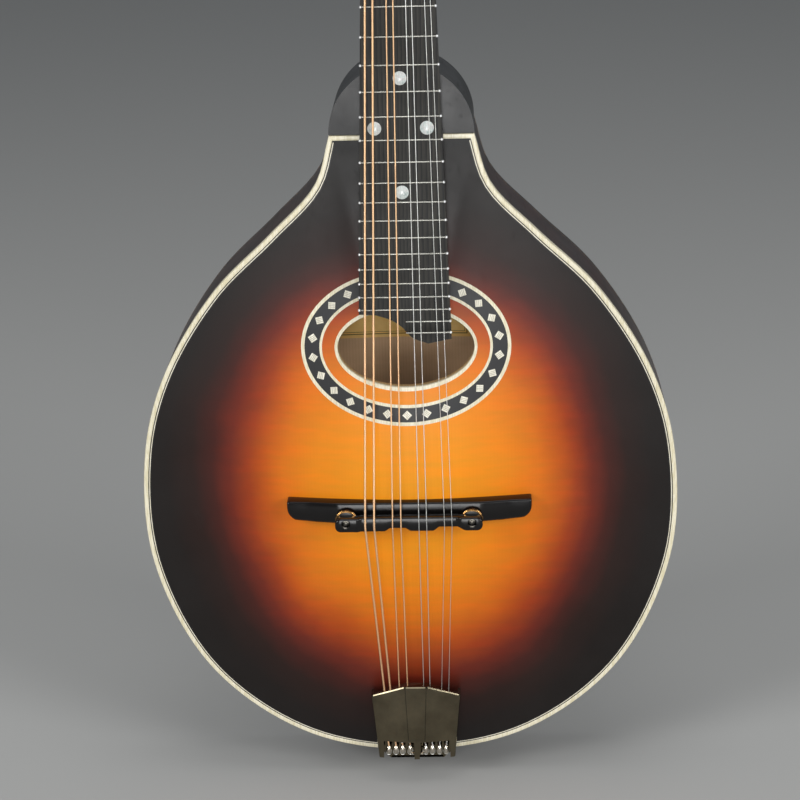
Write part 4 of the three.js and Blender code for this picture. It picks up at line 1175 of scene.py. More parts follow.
# ------------------------------------------------------------- neck and board
@dataclass
class Neck:
    """The neck with its heel, fingerboard, frets, dots, nut and truss rod."""

    saddle_z: float = SADDLE_LINE
    nut_z: float = 495.4
    scale: float = 352.4
    joint_z: float = 320.0
    joint_y: float = -30.0
    lean: float = math.radians(4.5)
    half_at_nut: float = 13.4
    flare: float = 0.0295
    frets: int = 24
    fret_half: float = 0.5
    fret_height: float = 1.0
    dot_radius: float = 3.1
    dots: tuple[tuple[int, tuple[float, ...]], ...] = (
        (3, (0.0,)), (5, (0.0,)), (7, (0.0,)), (10, (0.0,)), (12, (-11.8, 11.8)), (15, (0.0,)),
    )

    def board_y(self, z: float) -> float:
        """The board's face at a height."""
        return self.joint_y + math.tan(self.lean) * (z - self.joint_z)

    def board_half(self, z: float) -> float:
        """Half the board's width at a height."""
        return self.half_at_nut + self.flare * (self.nut_z - z)

    def fret_z(self, n: int) -> float:
        """The height of a fret."""
        return self.saddle_z + self.scale * 2 ** (-n / 12)

    def build(self) -> None:
        """Make every piece of the neck."""
        dress(refined("neck", 0.35), BLACK_MAPLE)
        dress(refined("heel_cap", 0.3), BLACK_MAPLE)
        dress(refined("fingerboard", 0.0), EBONY)
        dress(refined("nut", 0.15), IVOROID)
        dress(refined("truss_rod", 0.1), STEEL)
        dress(refined("truss_nut", 0.3), BRASS)
        self.fret_wires()
        self.dot_inlays()

    def fret_wires(self) -> None:
        """Crowned fret wires, and balls at their ends painted near-white as highlights."""
        wires = []
        for n in range(1, self.frets + 1):
            z = self.fret_z(n)
            y = self.board_y(z)
            half = self.board_half(z) + 0.02
            start = 0.2 if n > self.frets - 2 else -half
            rings = []
            steps = [start, start + 0.12, start + 0.45, start + 0.9, 0.5 * (start + half),
                     half - 0.9, half - 0.45, half - 0.12, half]
            scales = [0.15, 0.62, 0.92, 1.0, 1.0, 1.0, 0.92, 0.62, 0.15]
            for x, swell in zip(steps, scales):
                ring = []
                for q in np.linspace(0, math.pi, 9):
                    ring.append((x, y + 0.1 - math.sin(q) * self.fret_height * swell,
                                 z + math.cos(q) * self.fret_half * max(swell, 0.5)))
                ring += [(x, y + 0.9, z - 0.25), (x, y + 0.9, z + 0.25)]
                rings.append(ring)
            wires.append(loft(f"fret.{n:02d}", np.array(rings), angle=50))
        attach(dress(joined("frets", wires), FRET_STEEL), "root")
        self.fret_ends()

    def fret_ends(self) -> None:
        """Balls at the ends of the wires, proud of the board's edges, painted near-white as the wire's highlights.
        """
        balls = []
        for n in range(1, self.frets + 1):
            z = self.fret_z(n)
            for side in (-1, 1):
                if side < 0 and n > self.frets - 2:
                    continue
                x = side * (self.board_half(z) - 0.25)
                spot = Matrix.Translation((x, self.board_y(z) - 0.2, z))
                place = spot @ Matrix.Rotation(math.pi / 2, 4, "X")
                profile = [(0, -0.5), (0.62, -0.4), (0.66, 0.1), (0.55, 0.5), (0.32, 0.78), (0, 0.88)]
                balls.append(turned(f"fret_end.{n}.{side}", profile, place, 12))
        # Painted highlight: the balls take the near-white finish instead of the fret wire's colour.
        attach(dress(joined("fret_ends", balls), FRET_END_HIGHLIGHT), "root")

    def dot_inlays(self) -> None:
        """Round pearl dots, flush with the board."""
        stones = []
        for n, offsets in self.dots:
            z = (self.fret_z(n) + self.fret_z(n - 1)) / 2
            for x in offsets:
                seat = Matrix.Translation((x, self.board_y(z) + 0.3, z)) @ Matrix.Rotation(
                    math.pi / 2 - self.lean, 4, "X")
                r = self.dot_radius
                profile = [(0, 0), (r, 0), (r, 0.32), (r - 0.05, 0.35), (0, 0.36)]
                stones.append(turned(f"dot.{n}.{x:.0f}", profile, seat, 40))
        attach(dress(joined("position_dots", stones), PEARL), "root")


# --------------------------------------------------------------- head, tuners
HEAD_PITCH = math.radians(14)
HEAD = Matrix.Translation((0, -11.396, 500.7)) @ Matrix.Rotation(-HEAD_PITCH, 4, "X")
TURN_TO_Y = Matrix.Rotation(-math.pi / 2, 4, "X")      # a lathe's Z becomes Y
TURN_TO_X = Matrix.Rotation(math.pi / 2, 4, "Y")       # a lathe's Z becomes X


@dataclass
class Headstock:
    """The head's veneer, truss cover, tuning machines and their bushings."""

    post_x: float = POST_X
    heights: tuple[float, ...] = POST_HEIGHTS
    plate_back: float = 14.8
    gear_y: tuple[float, float] = (17.1, 20.1)
    worm_y: float = 18.6
    worm_up: float = 7.5
    teeth: int = 15
    gear_root: float = 4.35
    gear_tip: float = 5.3

    def build(self) -> None:
        """Make the head and its eight machines."""
        dress(refined("head_veneer", 0.2), BRIDGE_EBONY)
        dress(refined("truss_cover", 0.3), BRIDGE_EBONY)
        self.cover_screws()
        for hand in Hand:
            dress(refined(f"tuner_plate_{hand.label}", 0.2), NICKEL)
            self.plate_screws(hand)
            for number, h in enumerate(self.heights, 1):
                self.bushing(hand, number, h)
                self.post(hand, number, h)
                self.worm(hand, number, h)

    def screw(self, name: str, x: float, y: float, h: float, radius: float, up: bool) -> bpy.types.Object:
        """A small domed screw with a slot, set in the head's plane.

        Args:
            name: the piece's name.
            x: across the head.
            y: the height of its seat.
            h: along the head.
            radius: its head's radius.
            up: whether it faces the player.

        Returns:
            The screw.
        """
        turn = Matrix.Rotation(math.pi / 2 if up else -math.pi / 2, 4, "X")
        place = HEAD @ Matrix.Translation((x, y, h)) @ turn
        r = radius
        profile = [(0, -0.2), (r, -0.2), (r, 0.15), (r * 0.85, 0.45), (r * 0.5, 0.62), (0, 0.7)]
        body = turned(name, profile, place, 20)
        slot_ = turned(name + ".slot", [(0, 0.62), (r * 0.3, 0.66), (r * 0.28, 0.74), (0, 0.75)], place, 4)
        return joined(name, [body, slot_])

    def cover_screws(self) -> None:
        """Two screws that hold the truss cover."""
        screws = [self.screw(f"cover_screw.{i}", 0, -2.0, h, 1.5, True) for i, h in enumerate((6.5, 27.0))]
        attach(dress(joined("cover_screws", screws), NICKEL), "root")

    def plate_screws(self, hand: Hand) -> None:
        """Screws along each tuner plate, between the machines."""
        x = hand.value * (self.post_x - 4.6)
        spots = (22.0, 40.5, 63.5, 86.5, 108.5)
        screws = [self.screw(f"plate_screw.{hand.label}.{i}", x, self.plate_back + 1.2, h, 1.4, False)
                  for i, h in enumerate(spots)]
        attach(dress(joined(f"plate_screws.{hand.label}", screws), NICKEL), "root")

    def bushing(self, hand: Hand, number: int, h: float) -> None:
        """A stepped ring round each post on the head's face."""
        place = HEAD @ Matrix.Translation((hand.value * self.post_x, 0, h)) @ TURN_TO_Y
        profile = [(3.25, 1.6), (3.25, -1.3), (3.5, -1.5), (4.1, -1.4), (4.35, -0.9), (5.4, -0.7),
                   (5.7, -0.35), (5.7, -0.02), (4.2, -0.02), (4.2, 1.6)]
        flat = circle(1, 36)
        rings = [np.column_stack([flat * r, np.full(len(flat), y)]) for r, y in profile]
        rings = placed(rings, place).transpose(1, 0, 2)
        piece = loft(f"bushing.{hand.label}.{number}", rings, closed=True, angle=30)
        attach(dress(piece, NICKEL), "root")

    def post(self, hand: Hand, number: int, h: float) -> None:
        """A string post with its cog, which turn together."""
        name = f"tuner_post_{hand.label}_{number}"
        place = HEAD @ Matrix.Translation((hand.value * self.post_x, 0, h)) @ TURN_TO_Y
        low, high = self.gear_y
        profile = [(0, -12), (2.2, -12), (2.75, -11.8), (3.1, -11.3), (3.1, -8.3), (2.9, -8.0), (2.5, -7.4),
                   (2.5, -4.4), (2.9, -3.8), (3.1, -3.5), (3.1, low), (3.1, high), (2.4, high), (2.4, high + 0.6),
                   (1.9, high + 0.95), (0, high + 1.0)]
        shaft = turned(name + ".shaft", profile, place, 28)
        pieces = [shaft, self.cog(name + ".cog", place)]
        whole = joined(name + ".fine", pieces)
        dress(whole, NICKEL)
        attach(whole, name)
        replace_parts(whole, name)

    def cog(self, name: str, place: Matrix) -> bpy.types.Object:
        """A fifteen-tooth wheel.

        Args:
            name: the piece's name.
            place: the post's own place.

        Returns:
            The wheel.
        """
        steps = self.teeth * 6
        low, high = self.gear_y
        rings = []
        for radius_share, y in ((0.0, low), (1.0, low), (1.0, high), (0.0, high)):
            ring = []
            for i in range(steps):
                phase = (i % 6) / 6
                tip = 1.0 if 0.17 <= phase <= 0.5 else 0.0
                r = self.gear_root + (self.gear_tip - self.gear_root) * tip
                r = r if radius_share else 2.6
                q = 2 * math.pi * (i - 2) / steps
                ring.append((r * math.cos(q), r * math.sin(q), y))
            rings.append(ring)
        return loft(name, placed(rings, place).transpose(1, 0, 2), closed=True, angle=25)

    def worm(self, hand: Hand, number: int, h: float) -> None:
        """A worm with its thread and a cream button on its end."""
        name = f"tuner_worm_{hand.label}_{number}"
        flip = Matrix.Rotation(math.pi, 4, "Y") if hand is Hand.BASS else Matrix.Identity(4)
        spot = Matrix.Translation((hand.value * self.post_x, self.worm_y, h + self.worm_up))
        place = HEAD @ spot @ flip @ TURN_TO_X
        core = [(0, -9.5), (1.2, -9.5), (1.5, -9.2), (1.5, -5.5), (1.45, -5.2), (1.45, 5.2), (1.5, 5.5),
                (1.5, 11), (2.0, 11.1), (2.4, 11.5), (2.4, 12.6), (1.9, 13.2), (1.9, 14.4), (2.4, 14.8),
                (2.4, 15.6), (0, 15.8)]
        pieces = [turned(name + ".core", core, place, 24), self.thread(name + ".thread", place)]
        metal = joined(name + ".fine", pieces)
        dress(metal, NICKEL)
        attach(metal, name)
        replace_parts(metal, name)
        button = self.button(f"tuner_button_{hand.label}_{number}", place)
        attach(dress(button, IVOROID), name)

    def thread(self, name: str, place: Matrix) -> bpy.types.Object:
        """The worm's right-hand thread, as a swept ridge."""
        pitch = 2 * math.pi * ((self.gear_root + self.gear_tip) / 2) / self.teeth
        rings = []
        for q in np.linspace(-2.1 * 2 * math.pi, 2.1 * 2 * math.pi, 120):
            fade = min(1.0, (2.1 * 2 * math.pi - abs(q)) / 1.2 + 0.15)
            along = q / (2 * math.pi) * pitch
            ring = []
            crest = 1.45 + 0.72 * fade
            for radius, shift in ((1.3, -0.62), (crest, -0.28), (crest, 0.28), (1.3, 0.62)):
                ring.append((radius * math.cos(q), radius * math.sin(q), along + shift))
            rings.append(ring)
        return loft(name, placed(rings, place), angle=30)

    def button(self, name: str, place: Matrix) -> bpy.types.Object:
        """A kidney-shaped button with a waisted neck.

        Args:
            name: the piece's name.
            place: the worm's own place.

        Returns:
            The button.
        """
        outline = [(14.75, 2.6, 2.5), (15.2, 3.3, 2.9), (16.4, 4.6, 3.25), (18.4, 6.1, 3.5), (20.9, 6.5, 3.6),
                   (23.2, 6.3, 3.4), (25.3, 5.2, 2.9), (26.7, 3.5, 2.0), (27.55, 1.5, 0.9), (27.65, 0.01, 0.01)]
        rings = []
        for along, half, thick in outline:
            ring = []
            for q in np.linspace(0, 2 * math.pi, 28, endpoint=False):
                c, s = math.cos(q), math.sin(q)
                ring.append((math.copysign(abs(c) ** 0.8, c) * half,
                             math.copysign(abs(s) ** 0.9, s) * thick, along))
            rings.append(ring)
        return loft(name, placed(rings, place), angle=50)


# ---------------------------------------------------------- bridge, tailpiece
def drawn_in(radius: float, away: float) -> float:
    """How far a corner's arc has drawn in, at a distance from the piece's end."""
    return radius - math.sqrt(max(0.0, radius ** 2 - max(0.0, radius - away) ** 2))


@dataclass
class Bridge:
    """The adjustable bridge: base, posts, wheels and compensated saddle."""

    wheel_x: float = 29.4
    wheel_z: float = 141.4
    wheel_y: tuple[float, float] = (-42.7, -40.7)
    wheel_radius: float = 5.2
    knurls: int = 40
    base_half: float = 57.5

    def build(self) -> None:
        """Make the bridge's pieces."""
        self.base()
        self.saddle()
        for hand in Hand:
            self.post(hand)
            self.wheel(hand)

    def base(self) -> None:
        """The base: thin wings, a rounded lower edge and feet that fit the arch."""
        rings = []
        half = self.base_half
        for x in np.concatenate([[-half, -half + 0.15, -half + 0.5], np.linspace(-half + 1.2, half - 1.2, 92),
                                 [half - 0.5, half - 0.15, half]]):
            away = half - abs(x)
            ease = max(0.0, 0.6 - away) ** 2 * 1.2
            face = float(np.interp(abs(x), (30, 34, 40, 48, half),
                                   (-38.4, -38.35, -37.3, -36.0, -35.3))) + ease
            corner = drawn_in(4.6, away)
            low = SADDLE_LINE + float(np.interp(abs(x), (36, 44, 54, half), (-5, -4.9, -4.2, -3.4))) + corner
            high = SADDLE_LINE + 5.45 - ease
            section = [(face + 2.6, low), (face + 1.2, low + 0.3), (face + 0.4, low + 1.0), (face, low + 2.2),
                       (face, high - 0.9), (face + 0.25, high - 0.3), (face + 0.8, high)]
            feet = np.linspace(high, low, 6)
            floor = SHAPE.top_y(np.full(6, x), feet) - 0.02
            section += list(zip(floor, feet))
            rings.append([(x, y, z) for y, z in section])
        piece = loft("bridge_base.carved", np.array(rings), angle=48)
        dress(piece, BRIDGE_EBONY)
        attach(piece, "root")
        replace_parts(piece, "bridge_base")

    def saddle(self) -> None:
        """The saddle: round lobes over the wheels and a crown stepped for each course."""
        low_line = ((0, -5.8), (-1, -4.2), (-9.5, -4.2), (-10.5, -5.8), (-22, -5.8), (-26, -5.6),
                    (-34.4, -5.6))
        treble = ((12, -5.8), (13.5, -3.8), (23.5, -3.8), (26, -5.4), (34.4, -5.4))
        plan = np.array(list(low_line[::-1]) + list(treble))
        half = 34.4
        rings = []
        for x in np.concatenate([[-half, -half + 0.1, -half + 0.3], np.linspace(-half + 0.6, half - 0.6, 150),
                                 [half - 0.3, half - 0.1, half]]):
            away = half - abs(x)
            corner = drawn_in(2.7, away)
            near = [float(np.interp(x + d, plan[:, 0], plan[:, 1])) for d in (-0.9, -0.45, 0, 0.45, 0.9)]
            low = SADDLE_LINE + sum(near) / 5 + corner
            high = SADDLE_LINE + 1.2 - corner
            lobe = float(np.interp(abs(x), (22.0, 24.5), (0, 1)))
            lobe = lobe * lobe * (3 - 2 * lobe)
            face = -46.55 - 1.2 * lobe + max(0.0, 0.5 - away) ** 2
            foot = -43.02 + 1.0 * float(np.interp(abs(x), (22.5, 24), (1, 0)))
            r = 0.75
            rings.append([(x, y, z) for y, z in (
                (face + r * 1.6, low), (face + r * 0.6, low + 0.18), (face + r * 0.15, low + r * 0.6),
                (face, low + r * 1.3), (face, high - r), (face + r * 0.3, high - r * 0.3),
                (face + r, high), (foot - 0.3, high), (foot, high - 0.3), (foot, low + 0.3),
                (foot - 0.3, low))])
        piece = loft("bridge_saddle.carved", np.array(rings), angle=50)
        for hand in Hand:
            place = Matrix.Translation((hand.value * self.wheel_x, 0, self.wheel_z)) @ TURN_TO_Y
            drill = turned("drill", [(0, -60), (2.0, -60), (2.0, -20), (0, -20)], place, 28)
            finish_with(piece, "BOOLEAN", object=drill, operation="DIFFERENCE", solver="EXACT")
            bpy.data.objects.remove(drill)
        smooth(piece, 50)
        dress(piece, BRIDGE_EBONY)
        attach(piece, "saddle")
        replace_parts(piece, "bridge_saddle")

    def post(self, hand: Hand) -> None:
        """A threaded post with a small turned tip on its end."""
        name = f"bridge_post_{hand.label}"
        place = Matrix.Translation((hand.value * self.wheel_x, 0, self.wheel_z)) @ TURN_TO_Y
        profile = [(0, -45.5), (0.5, -45.45), (0.62, -45.1), (0.66, -44.9), (1.6, -44.8)]
        y = -44.6
        while y < -35.9:
            profile += [(1.7, y), (1.7, y + 0.12), (1.45, y + 0.3), (1.45, y + 0.38)]
            y += 0.5
        profile += [(1.6, -35.5), (0, -35.42)]
        piece = turned(name + ".threaded", profile, place, 24)
        dress(piece, NICKEL)
        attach(piece, "root")
        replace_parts(piece, name)

    def wheel(self, hand: Hand) -> None:
        """A knurled brass wheel with a chamfered rim, and a black disc on its face that is a painted reflection of
        the dark saddle.
        """
        name = f"thumbwheel_{hand.label}"
        low, high = self.wheel_y
        rings = []
        bore = 2.0
        steps = self.knurls * 4
        rim = self.wheel_radius
        section = ((bore, low + 0.02, 0), (rim - 0.5, low + 0.02, 0), (rim, low + 0.35, 1),
                   (rim, high - 0.35, 1), (rim - 0.5, high - 0.02, 0), (bore, high - 0.02, 0))
        for radius, y, cut in section:
            q = np.arange(steps) * 2 * math.pi / steps
            r = np.full(steps, radius) - (np.arange(steps) % 4 < 2) * 0.28 * cut
            rings.append(np.stack([hand.value * self.wheel_x + r * np.cos(q), np.full(steps, y),
                                   self.wheel_z + r * np.sin(q)], axis=1))
        piece = loft(name + ".knurled", np.array(rings).transpose(1, 0, 2), closed=True, angle=25)
        dress(piece, BRASS)
        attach(piece, name)
        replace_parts(piece, name)
        place = Matrix.Translation((hand.value * self.wheel_x, 0, self.wheel_z)) @ TURN_TO_Y
        # Painted reflection: a thin black disc over the wheel's face stands for the dark saddle mirrored in the
        # brass.
        painted_reflection_disc = turned(name + ".washer", [(bore, low + 0.04), (bore, low - 0.02), (4.1, low - 0.02),
                                           (4.25, low + 0.04)], place, 40)
        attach(dress(painted_reflection_disc, BLACK_LINE), name)


@dataclass
class Tailpiece:
    """The folded metal tailpiece with its hooks, its screws and the end pin."""

    middle: float = 1.0
    low_z: float = 14.0
    lip_z: float = 53.0
    corner_z: float = 47.0
    floor_y: float = -26.4
    wing_y: float = -33.6
    crest_y: float = -37.0

    def build(self) -> None:
        """Make the tailpiece, its screws and the pin."""
        cover = self.cover()
        base = self.base()
        # The cover and base take the darkened nickel, a painted reflection of a dark room.
        whole = dress(joined("tailpiece.cover", [cover]), REFLECTION_DARK_NICKEL)
        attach(whole, "root")
        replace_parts(whole, "tailpiece")
        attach(dress(base, REFLECTION_DARK_NICKEL), "root")
        hooks = [self.hook(spec) for spec in STRINGS]
        for side in (-1, 1):
            place = Matrix.Translation((self.middle + side * 2.25, 0, 15.2)) @ TURN_TO_Y
            hooks.append(turned(f"foot_pin.{side}", [(0, -32.9), (0.45, -32.8), (0.75, -32.4), (0.8, -32.0),
                                                     (0.8, -27.0), (0, -27.0)], place, 20))
        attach(dress(joined("tailpiece.hooks", hooks), NICKEL), "root")
        dress(refined("end_pin", 0.25, 2), BRIDGE_EBONY)
        for number in (1, 2, 3):
            dress(refined(f"tailpiece_screw_{number}", 0.2), NICKEL)

    def top_z(self, x: float, half: float) -> float:
        """Where the lip ends at a distance from the middle."""
        return float(np.interp(abs(x), (4.3, half), (self.lip_z, self.corner_z)))

    def cover(self) -> bpy.types.Object:
        """The cover: a raised middle facet that widens upwards between two wings."""
        rings = []
        for k in (0.0, 0.01, 0.1, 0.255, 0.262, 0.275, 0.29, 0.4, 0.55, 0.7, 0.85, 0.93, 0.95, 0.985, 1.0):
            half = 18.6 + 3.0 * k
            crest = 3.4 + 1.6 * k
            lip = 1.0 if k > 0.94 else 0.0
            drop = 0.35 if k == 1.0 else (0.08 if k == 0.985 else 0.0)
            proud = float(np.interp(k, (0.255, 0.262, 0.275, 0.29), (0.0, 0.6, 0.9, 1.0)))
            ridge = self.crest_y + 0.85
            outer = [(-half, self.floor_y), (-half, self.wing_y + 1.2), (-half + 0.22, self.wing_y + 0.45),
                     (-half + 0.9, self.wing_y + 0.0), (-crest - 0.8, ridge + 0.1),
                     (-crest - 0.3, ridge - 0.18 * proud), (-crest - 0.05, ridge - 0.55 * proud),
                     (-crest + 0.3, ridge - 0.85 * proud)]
            outer = [(x, y + drop) for x, y in outer]
            inner = [(-crest, self.crest_y + 1.2 + 4.4 * lip), (-half + 1.3, self.wing_y + 1.5 + 1.0 * lip),
                     (-half + 1.3, self.floor_y)]
            section = (outer + [(-x, y) for x, y in outer[::-1]]
                       + [(-x, y) for x, y in inner[::-1]] + inner)
            rings.append([(x + self.middle, y, self.low_z + (self.top_z(x, half) - self.low_z) * k)
                          for x, y in section])
        piece = loft("tailpiece.roof", np.array(rings), angle=22)
        for side in (-1, 1):
            let_go()
            bpy.ops.mesh.primitive_cube_add(
                size=1, location=((side * 8.75 + self.middle) * MM, -0.034, 0.0155))
            cutter = bpy.context.object
            cutter.scale = (14.9 * MM, 0.012, 0.015)
            cutter = settle(cutter, "window")
            finish_with(cutter, "BEVEL", width=0.6 * MM, segments=3)
            finish_with(piece, "BOOLEAN", object=cutter, operation="DIFFERENCE", solver="EXACT")
            bpy.data.objects.remove(cutter)
        return smooth(piece, 7)

    def base(self) -> bpy.types.Object:
        """The base: a floor under the cover, folded down over the tail."""
        m = self.middle
        floor_plan = [(-17.2, 13.2), (17.2, 13.2), (20.0, 45.5), (-20.0, 45.5)]
        rings = [[(x + m, y, z) for x, z in floor_plan] for y in (self.floor_y + 0.1, self.floor_y + 1.4)]
        floor = loft("base.floor", np.array(rings), angle=30)
        tail_plan = [(-13, self.floor_y), (13, self.floor_y), (13, 8), (12, 12.5), (9, 16), (4, 17.8),
                     (-4, 17.8), (-9, 16), (-12, 12.5), (-13, 8)]
        rings = [[(x + m, y, z) for x, y in tail_plan] for z in (10.1, 11.7)]
        plate = loft("base.tail", np.array(rings), angle=30)
        fold_plan = [(-13, 10.1), (13, 10.1), (16.6, 13.4), (-16.6, 13.4)]
        rings = [[(x + m, y, z) for x, z in fold_plan] for y in (self.floor_y - 0.0, self.floor_y + 1.4)]
        fold = loft("base.fold", np.array(rings), angle=30)
        whole = joined("tailpiece.base", [floor, plate, fold])
        finish_with(whole, "BEVEL", width=0.3 * MM, segments=2, limit_method="ANGLE")
        return smooth(whole, 35)

    def hook(self, spec: "StringSpec") -> bpy.types.Object:
        """A rounded hook that curls out of the base.

        Args:
            spec: the string that it holds.

        Returns:
            The hook.
        """
        x = spec.hook_x
        stops = ((-26.6, 14.0, 0.9), (-28.6, 14.0, 1.0), (-30.4, 14.5, 1.1), (-31.6, 15.6, 1.2),
                 (-32.0, 17.0, 1.2), (-31.8, 18.3, 1.05), (-31.3, 19.3, 0.8), (-30.8, 19.9, 0.4),
                 (-30.6, 20.1, 0.02))
        rings = []
        for (y, z, r), (ny, nz, _), (py, pz, _) in zip(stops, stops[1:] + stops[-1:], stops[:1] + stops):
            along = Vector((0, ny - py, nz - pz)).normalized()
            up = along.cross(Vector((1, 0, 0)))
            rings.append([
                tuple(Vector((x, y, z)) + Vector((1, 0, 0)) * r * math.cos(q) + up * 0.7 * r * math.sin(q))
                for q in np.linspace(0, 2 * math.pi, 14, endpoint=False)])
        return loft(f"hook.{spec.name}", np.array(rings), angle=60)


# --------------------------------------------------------------------- strings
@dataclass(frozen=True)
class StringSpec:
    """One string: its wire and where it crosses each support."""

    name: str
    radius: float
    nut_x: float
    saddle_x: float
    lip_x: float
    hook_x: float
    hand: Hand
    post: int

    @property
    def wound(self) -> bool:
        """Whether the string is wound."""
        return self.radius > 0.25


STRINGS = (
    StringSpec("g_1", 0.51, -11.8, -20.4, -14.1, -12.9, Hand.BASS, 1),
    StringSpec("g_2", 0.51, -8.8, -16.2, -11.2, -9.4, Hand.BASS, 2),
    StringSpec("d_1", 0.33, -4.0, -7.6, -6.9, -6.1, Hand.BASS, 3),
    StringSpec("d_2", 0.33, -1.5, -3.7, -2.9, -2.4, Hand.BASS, 4),
    StringSpec("a_1", 0.19, 2.8, 4.7, 4.9, 5.1, Hand.TREBLE, 4),
    StringSpec("a_2", 0.19, 4.9, 8.3, 7.9, 8.4, Hand.TREBLE, 3),
    StringSpec("e_1", 0.14, 9.5, 16.6, 13.5, 11.9, Hand.TREBLE, 2),
    StringSpec("e_2", 0.14, 11.6, 20.1, 16.9, 15.2, Hand.TREBLE, 1),
)


@dataclass
class StringSet:
    """Eight strings in four courses, with loop ends and post windings."""

    saddle_y: float = -47.4
    saddle_z: float = 140.0
    nut_y: float = -17.6
    nut_z: float = 495.4
    heights: tuple[float, ...] = POST_HEIGHTS
    turns: float = 3.0

    def build(self) -> None:
        """Make each string."""
        for spec in STRINGS:
            finish = BRONZE if spec.wound else STEEL
            piece = dress(self.wire(spec), finish)
            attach(piece, "root")
            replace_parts(piece, f"string_{spec.name}")
            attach(dress(self.loop(spec), STEEL), "root")
            winding = dress(self.winding(spec), finish)
            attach(winding, f"tuner_post_{spec.hand.label}_{spec.post}")

    def entry(self, spec: StringSpec) -> Vector:
        """Where the string meets its post, in the head's own frame."""
        h = self.heights[spec.post - 1]
        return Vector((spec.hand.value * (POST_X - 2.5 - 0.3 - spec.radius), -5.4, h - 1))

    def wire(self, spec: StringSpec) -> bpy.types.Object:
        """A string from its loop to its post.

        Args:
            spec: the string.

        Returns:
            The string's mesh.
        """
        r = spec.radius
        stops = [
            (spec.hook_x, -32.0, 19.6), (spec.lip_x, -33.2, 49.0),
            (spec.saddle_x, self.saddle_y, self.saddle_z), (spec.nut_x, self.nut_y, self.nut_z),
            (spec.nut_x * 1.02, self.nut_y + 0.2, self.nut_z + 5),
            tuple(HEAD @ self.entry(spec)),
        ]
        counts = (6, 30, 90, 2, 14)
        path = []
        for (a, b), count in zip(zip(stops, stops[1:]), counts):
            a, b = np.array(a), np.array(b)
            path += [a + (b - a) * k for k in np.linspace(0, 1, count, endpoint=False)]
        path.append(np.array(stops[-1]))
        return tube(f"string_{spec.name}.wire", path, r, 10)

    def loop(self, spec: StringSpec) -> bpy.types.Object:
        """The loop that hangs on the tailpiece's hook, with its twist."""
        r = min(spec.radius, 0.2)
        x, z = spec.hook_x, 16.2
        path = []
        for q in np.linspace(-0.35, 2 * math.pi + 0.35, 30):
            q -= math.pi / 2
            path.append((x + 1.25 * math.cos(q - math.pi), -31.6 + 0.35 * math.sin(q / 2),
                         z + 1.9 * math.sin(q + math.pi)))
        ring = tube(f"loop.{spec.name}", path, r, 8)
        twist = []
        for q in np.linspace(0, 6 * math.pi, 40):
            k = q / (6 * math.pi)
            twist.append((x + 0.35 * math.cos(q) + (spec.lip_x - x) * 0.2 * k,
                          -31.8 - 0.3 * k + 0.35 * math.sin(q), z + 2 + 5.0 * k))
        return joined(f"loop_end.{spec.name}", [ring, tube(f"twist.{spec.name}", twist, r, 8)])

    def winding(self, spec: StringSpec) -> bpy.types.Object:
        """The turns on the post, and the cut end.

        Args:
            spec: the string.

        Returns:
            The winding's mesh.
        """
        h = self.heights[spec.post - 1]
        post = Vector((spec.hand.value * POST_X, 0, h))
        start = self.entry(spec)
        offset = start - post
        q0 = math.atan2(offset.z, offset.x)
        radius = 2.5 + spec.radius + 0.02
        pitch = min(2.15 * spec.radius, 0.9)
        turns = min(self.turns, 2.6 / pitch)
        path = []
        for k in np.linspace(0, 1, int(turns * 22) + 2):
            q = q0 - spec.hand.value * 2 * math.pi * turns * k
            path.append(HEAD @ Vector((post.x + radius * math.cos(q), -5.6 + pitch * turns * (k - 0.55) * -1,
                                       post.z + radius * math.sin(q))))
        return tube(f"winding_{spec.name}", [tuple(p) for p in path], spec.radius, 8)


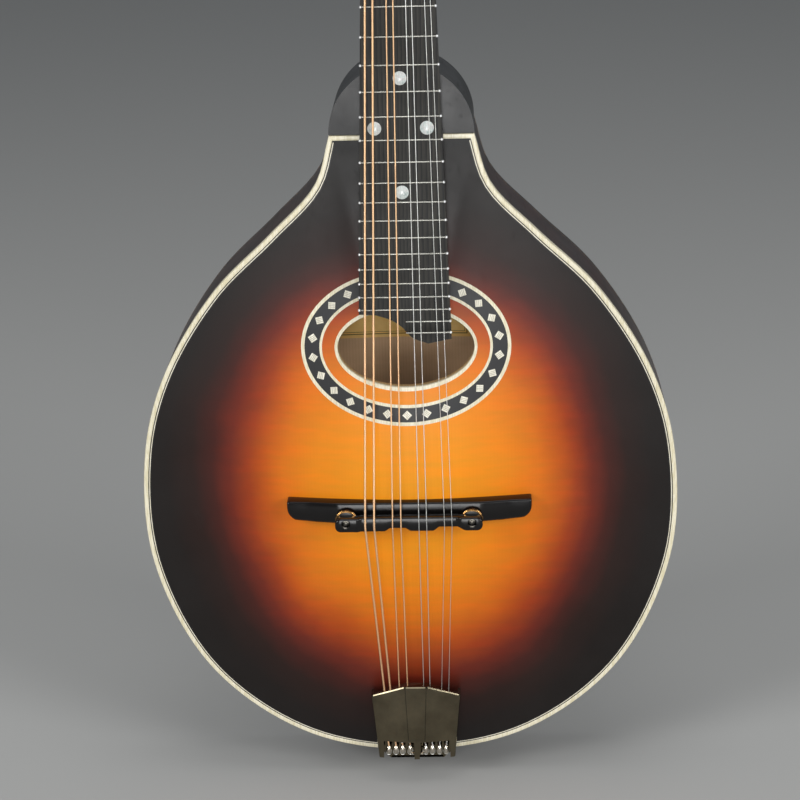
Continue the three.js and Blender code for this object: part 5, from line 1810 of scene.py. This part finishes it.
# -------------------------------------------------------------------- the room
@dataclass
class Studio:
    """A pale floor, soft lights and the camera."""

    camera_at: Point = (0.0312, -1.0476, 0.5330)
    lens: float = 103.8
    pitch: float = math.radians(18.29)
    yaw: float = math.radians(-1.94)
    roll: float = math.radians(-1.42)

    def build(self) -> None:
        """Make the room."""
        bpy.context.scene.view_settings.view_transform = "Standard"
        self.floor()
        self.lights()
        self.camera()

    def floor(self) -> None:
        """A pale floor under the end pin."""
        let_go()
        bpy.ops.mesh.primitive_plane_add(size=60, location=(0, 3, -0.0005))
        floor = settle(bpy.context.object, "floor")
        material = bpy.data.materials.new("pale floor")
        material.use_nodes = True
        shader = material.node_tree.nodes["Principled BSDF"]
        shader.inputs["Base Color"].default_value = (0.42, 0.42, 0.41, 1)
        shader.inputs["Roughness"].default_value = 0.85
        floor.data.materials.append(material)

    def lights(self) -> None:
        """Broad soft lamps from above and the sides, and a dim surround."""
        lamps = (
            ("left", (-1.6, -1.5, 1.15), (0, 0, 0.2), 0.9, 27.0),
            ("right", (1.6, -1.5, 0.95), (0, 0, 0.2), 0.9, 26.0),
            ("front", (0.2, -2.6, 0.9), (0, 0, 0.2), 1.5, 15.0),
            ("low", (-0.03, -1.4, 0.13), (0, 0, 0.27), 0.34, 3.0),
            ("over", (0.1, -0.2, 1.9), (0, 0.1, 0.25), 1.0, 7.0),
        )
        for name, place, aim, size, power in lamps:
            lamp = bpy.data.lights.new(name, "AREA")
            lamp.energy = power
            lamp.size = size
            holder = bpy.data.objects.new(name, lamp)
            bpy.context.scene.collection.objects.link(holder)
            holder.location = place
            holder.rotation_euler = (Vector(aim) - Vector(place)).to_track_quat("-Z", "Y").to_euler()
        world = bpy.data.worlds.new("surround")
        bpy.context.scene.world = world
        world.use_nodes = True
        world.node_tree.nodes["Background"].inputs["Color"].default_value = (0.9, 0.95, 1.0, 1)
        world.node_tree.nodes["Background"].inputs["Strength"].default_value = 0.2

    def camera(self) -> None:
        """The camera, a little above and in front."""
        p, y = self.pitch, self.yaw
        forward = Vector((math.sin(y) * math.cos(p), math.cos(y) * math.cos(p), -math.sin(p)))
        right = forward.cross(Vector((0, 0, 1))).normalized()
        up = right.cross(forward)
        c, s = math.cos(self.roll), math.sin(self.roll)
        right, up = right * c + up * s, up * c - right * s
        data = bpy.data.cameras.new("camera")
        data.lens = self.lens
        data.sensor_width = 36
        data.clip_start, data.clip_end = 0.01, 50
        holder = bpy.data.objects.new("camera", data)
        bpy.context.scene.collection.objects.link(holder)
        turn = Matrix((right, up, -forward)).transposed().to_4x4()
        holder.matrix_world = Matrix.Translation(self.camera_at) @ turn
        bpy.context.scene.camera = holder


def main() -> None:
    """Build the mandolin and its room."""
    logging.basicConfig(level=logging.INFO, format="%(name)s: %(message)s")
    Soundbox().build()
    Neck().build()
    Headstock().build()
    Bridge().build()
    Tailpiece().build()
    StringSet().build()
    Studio().build()


if __name__ == "__main__":
    main()
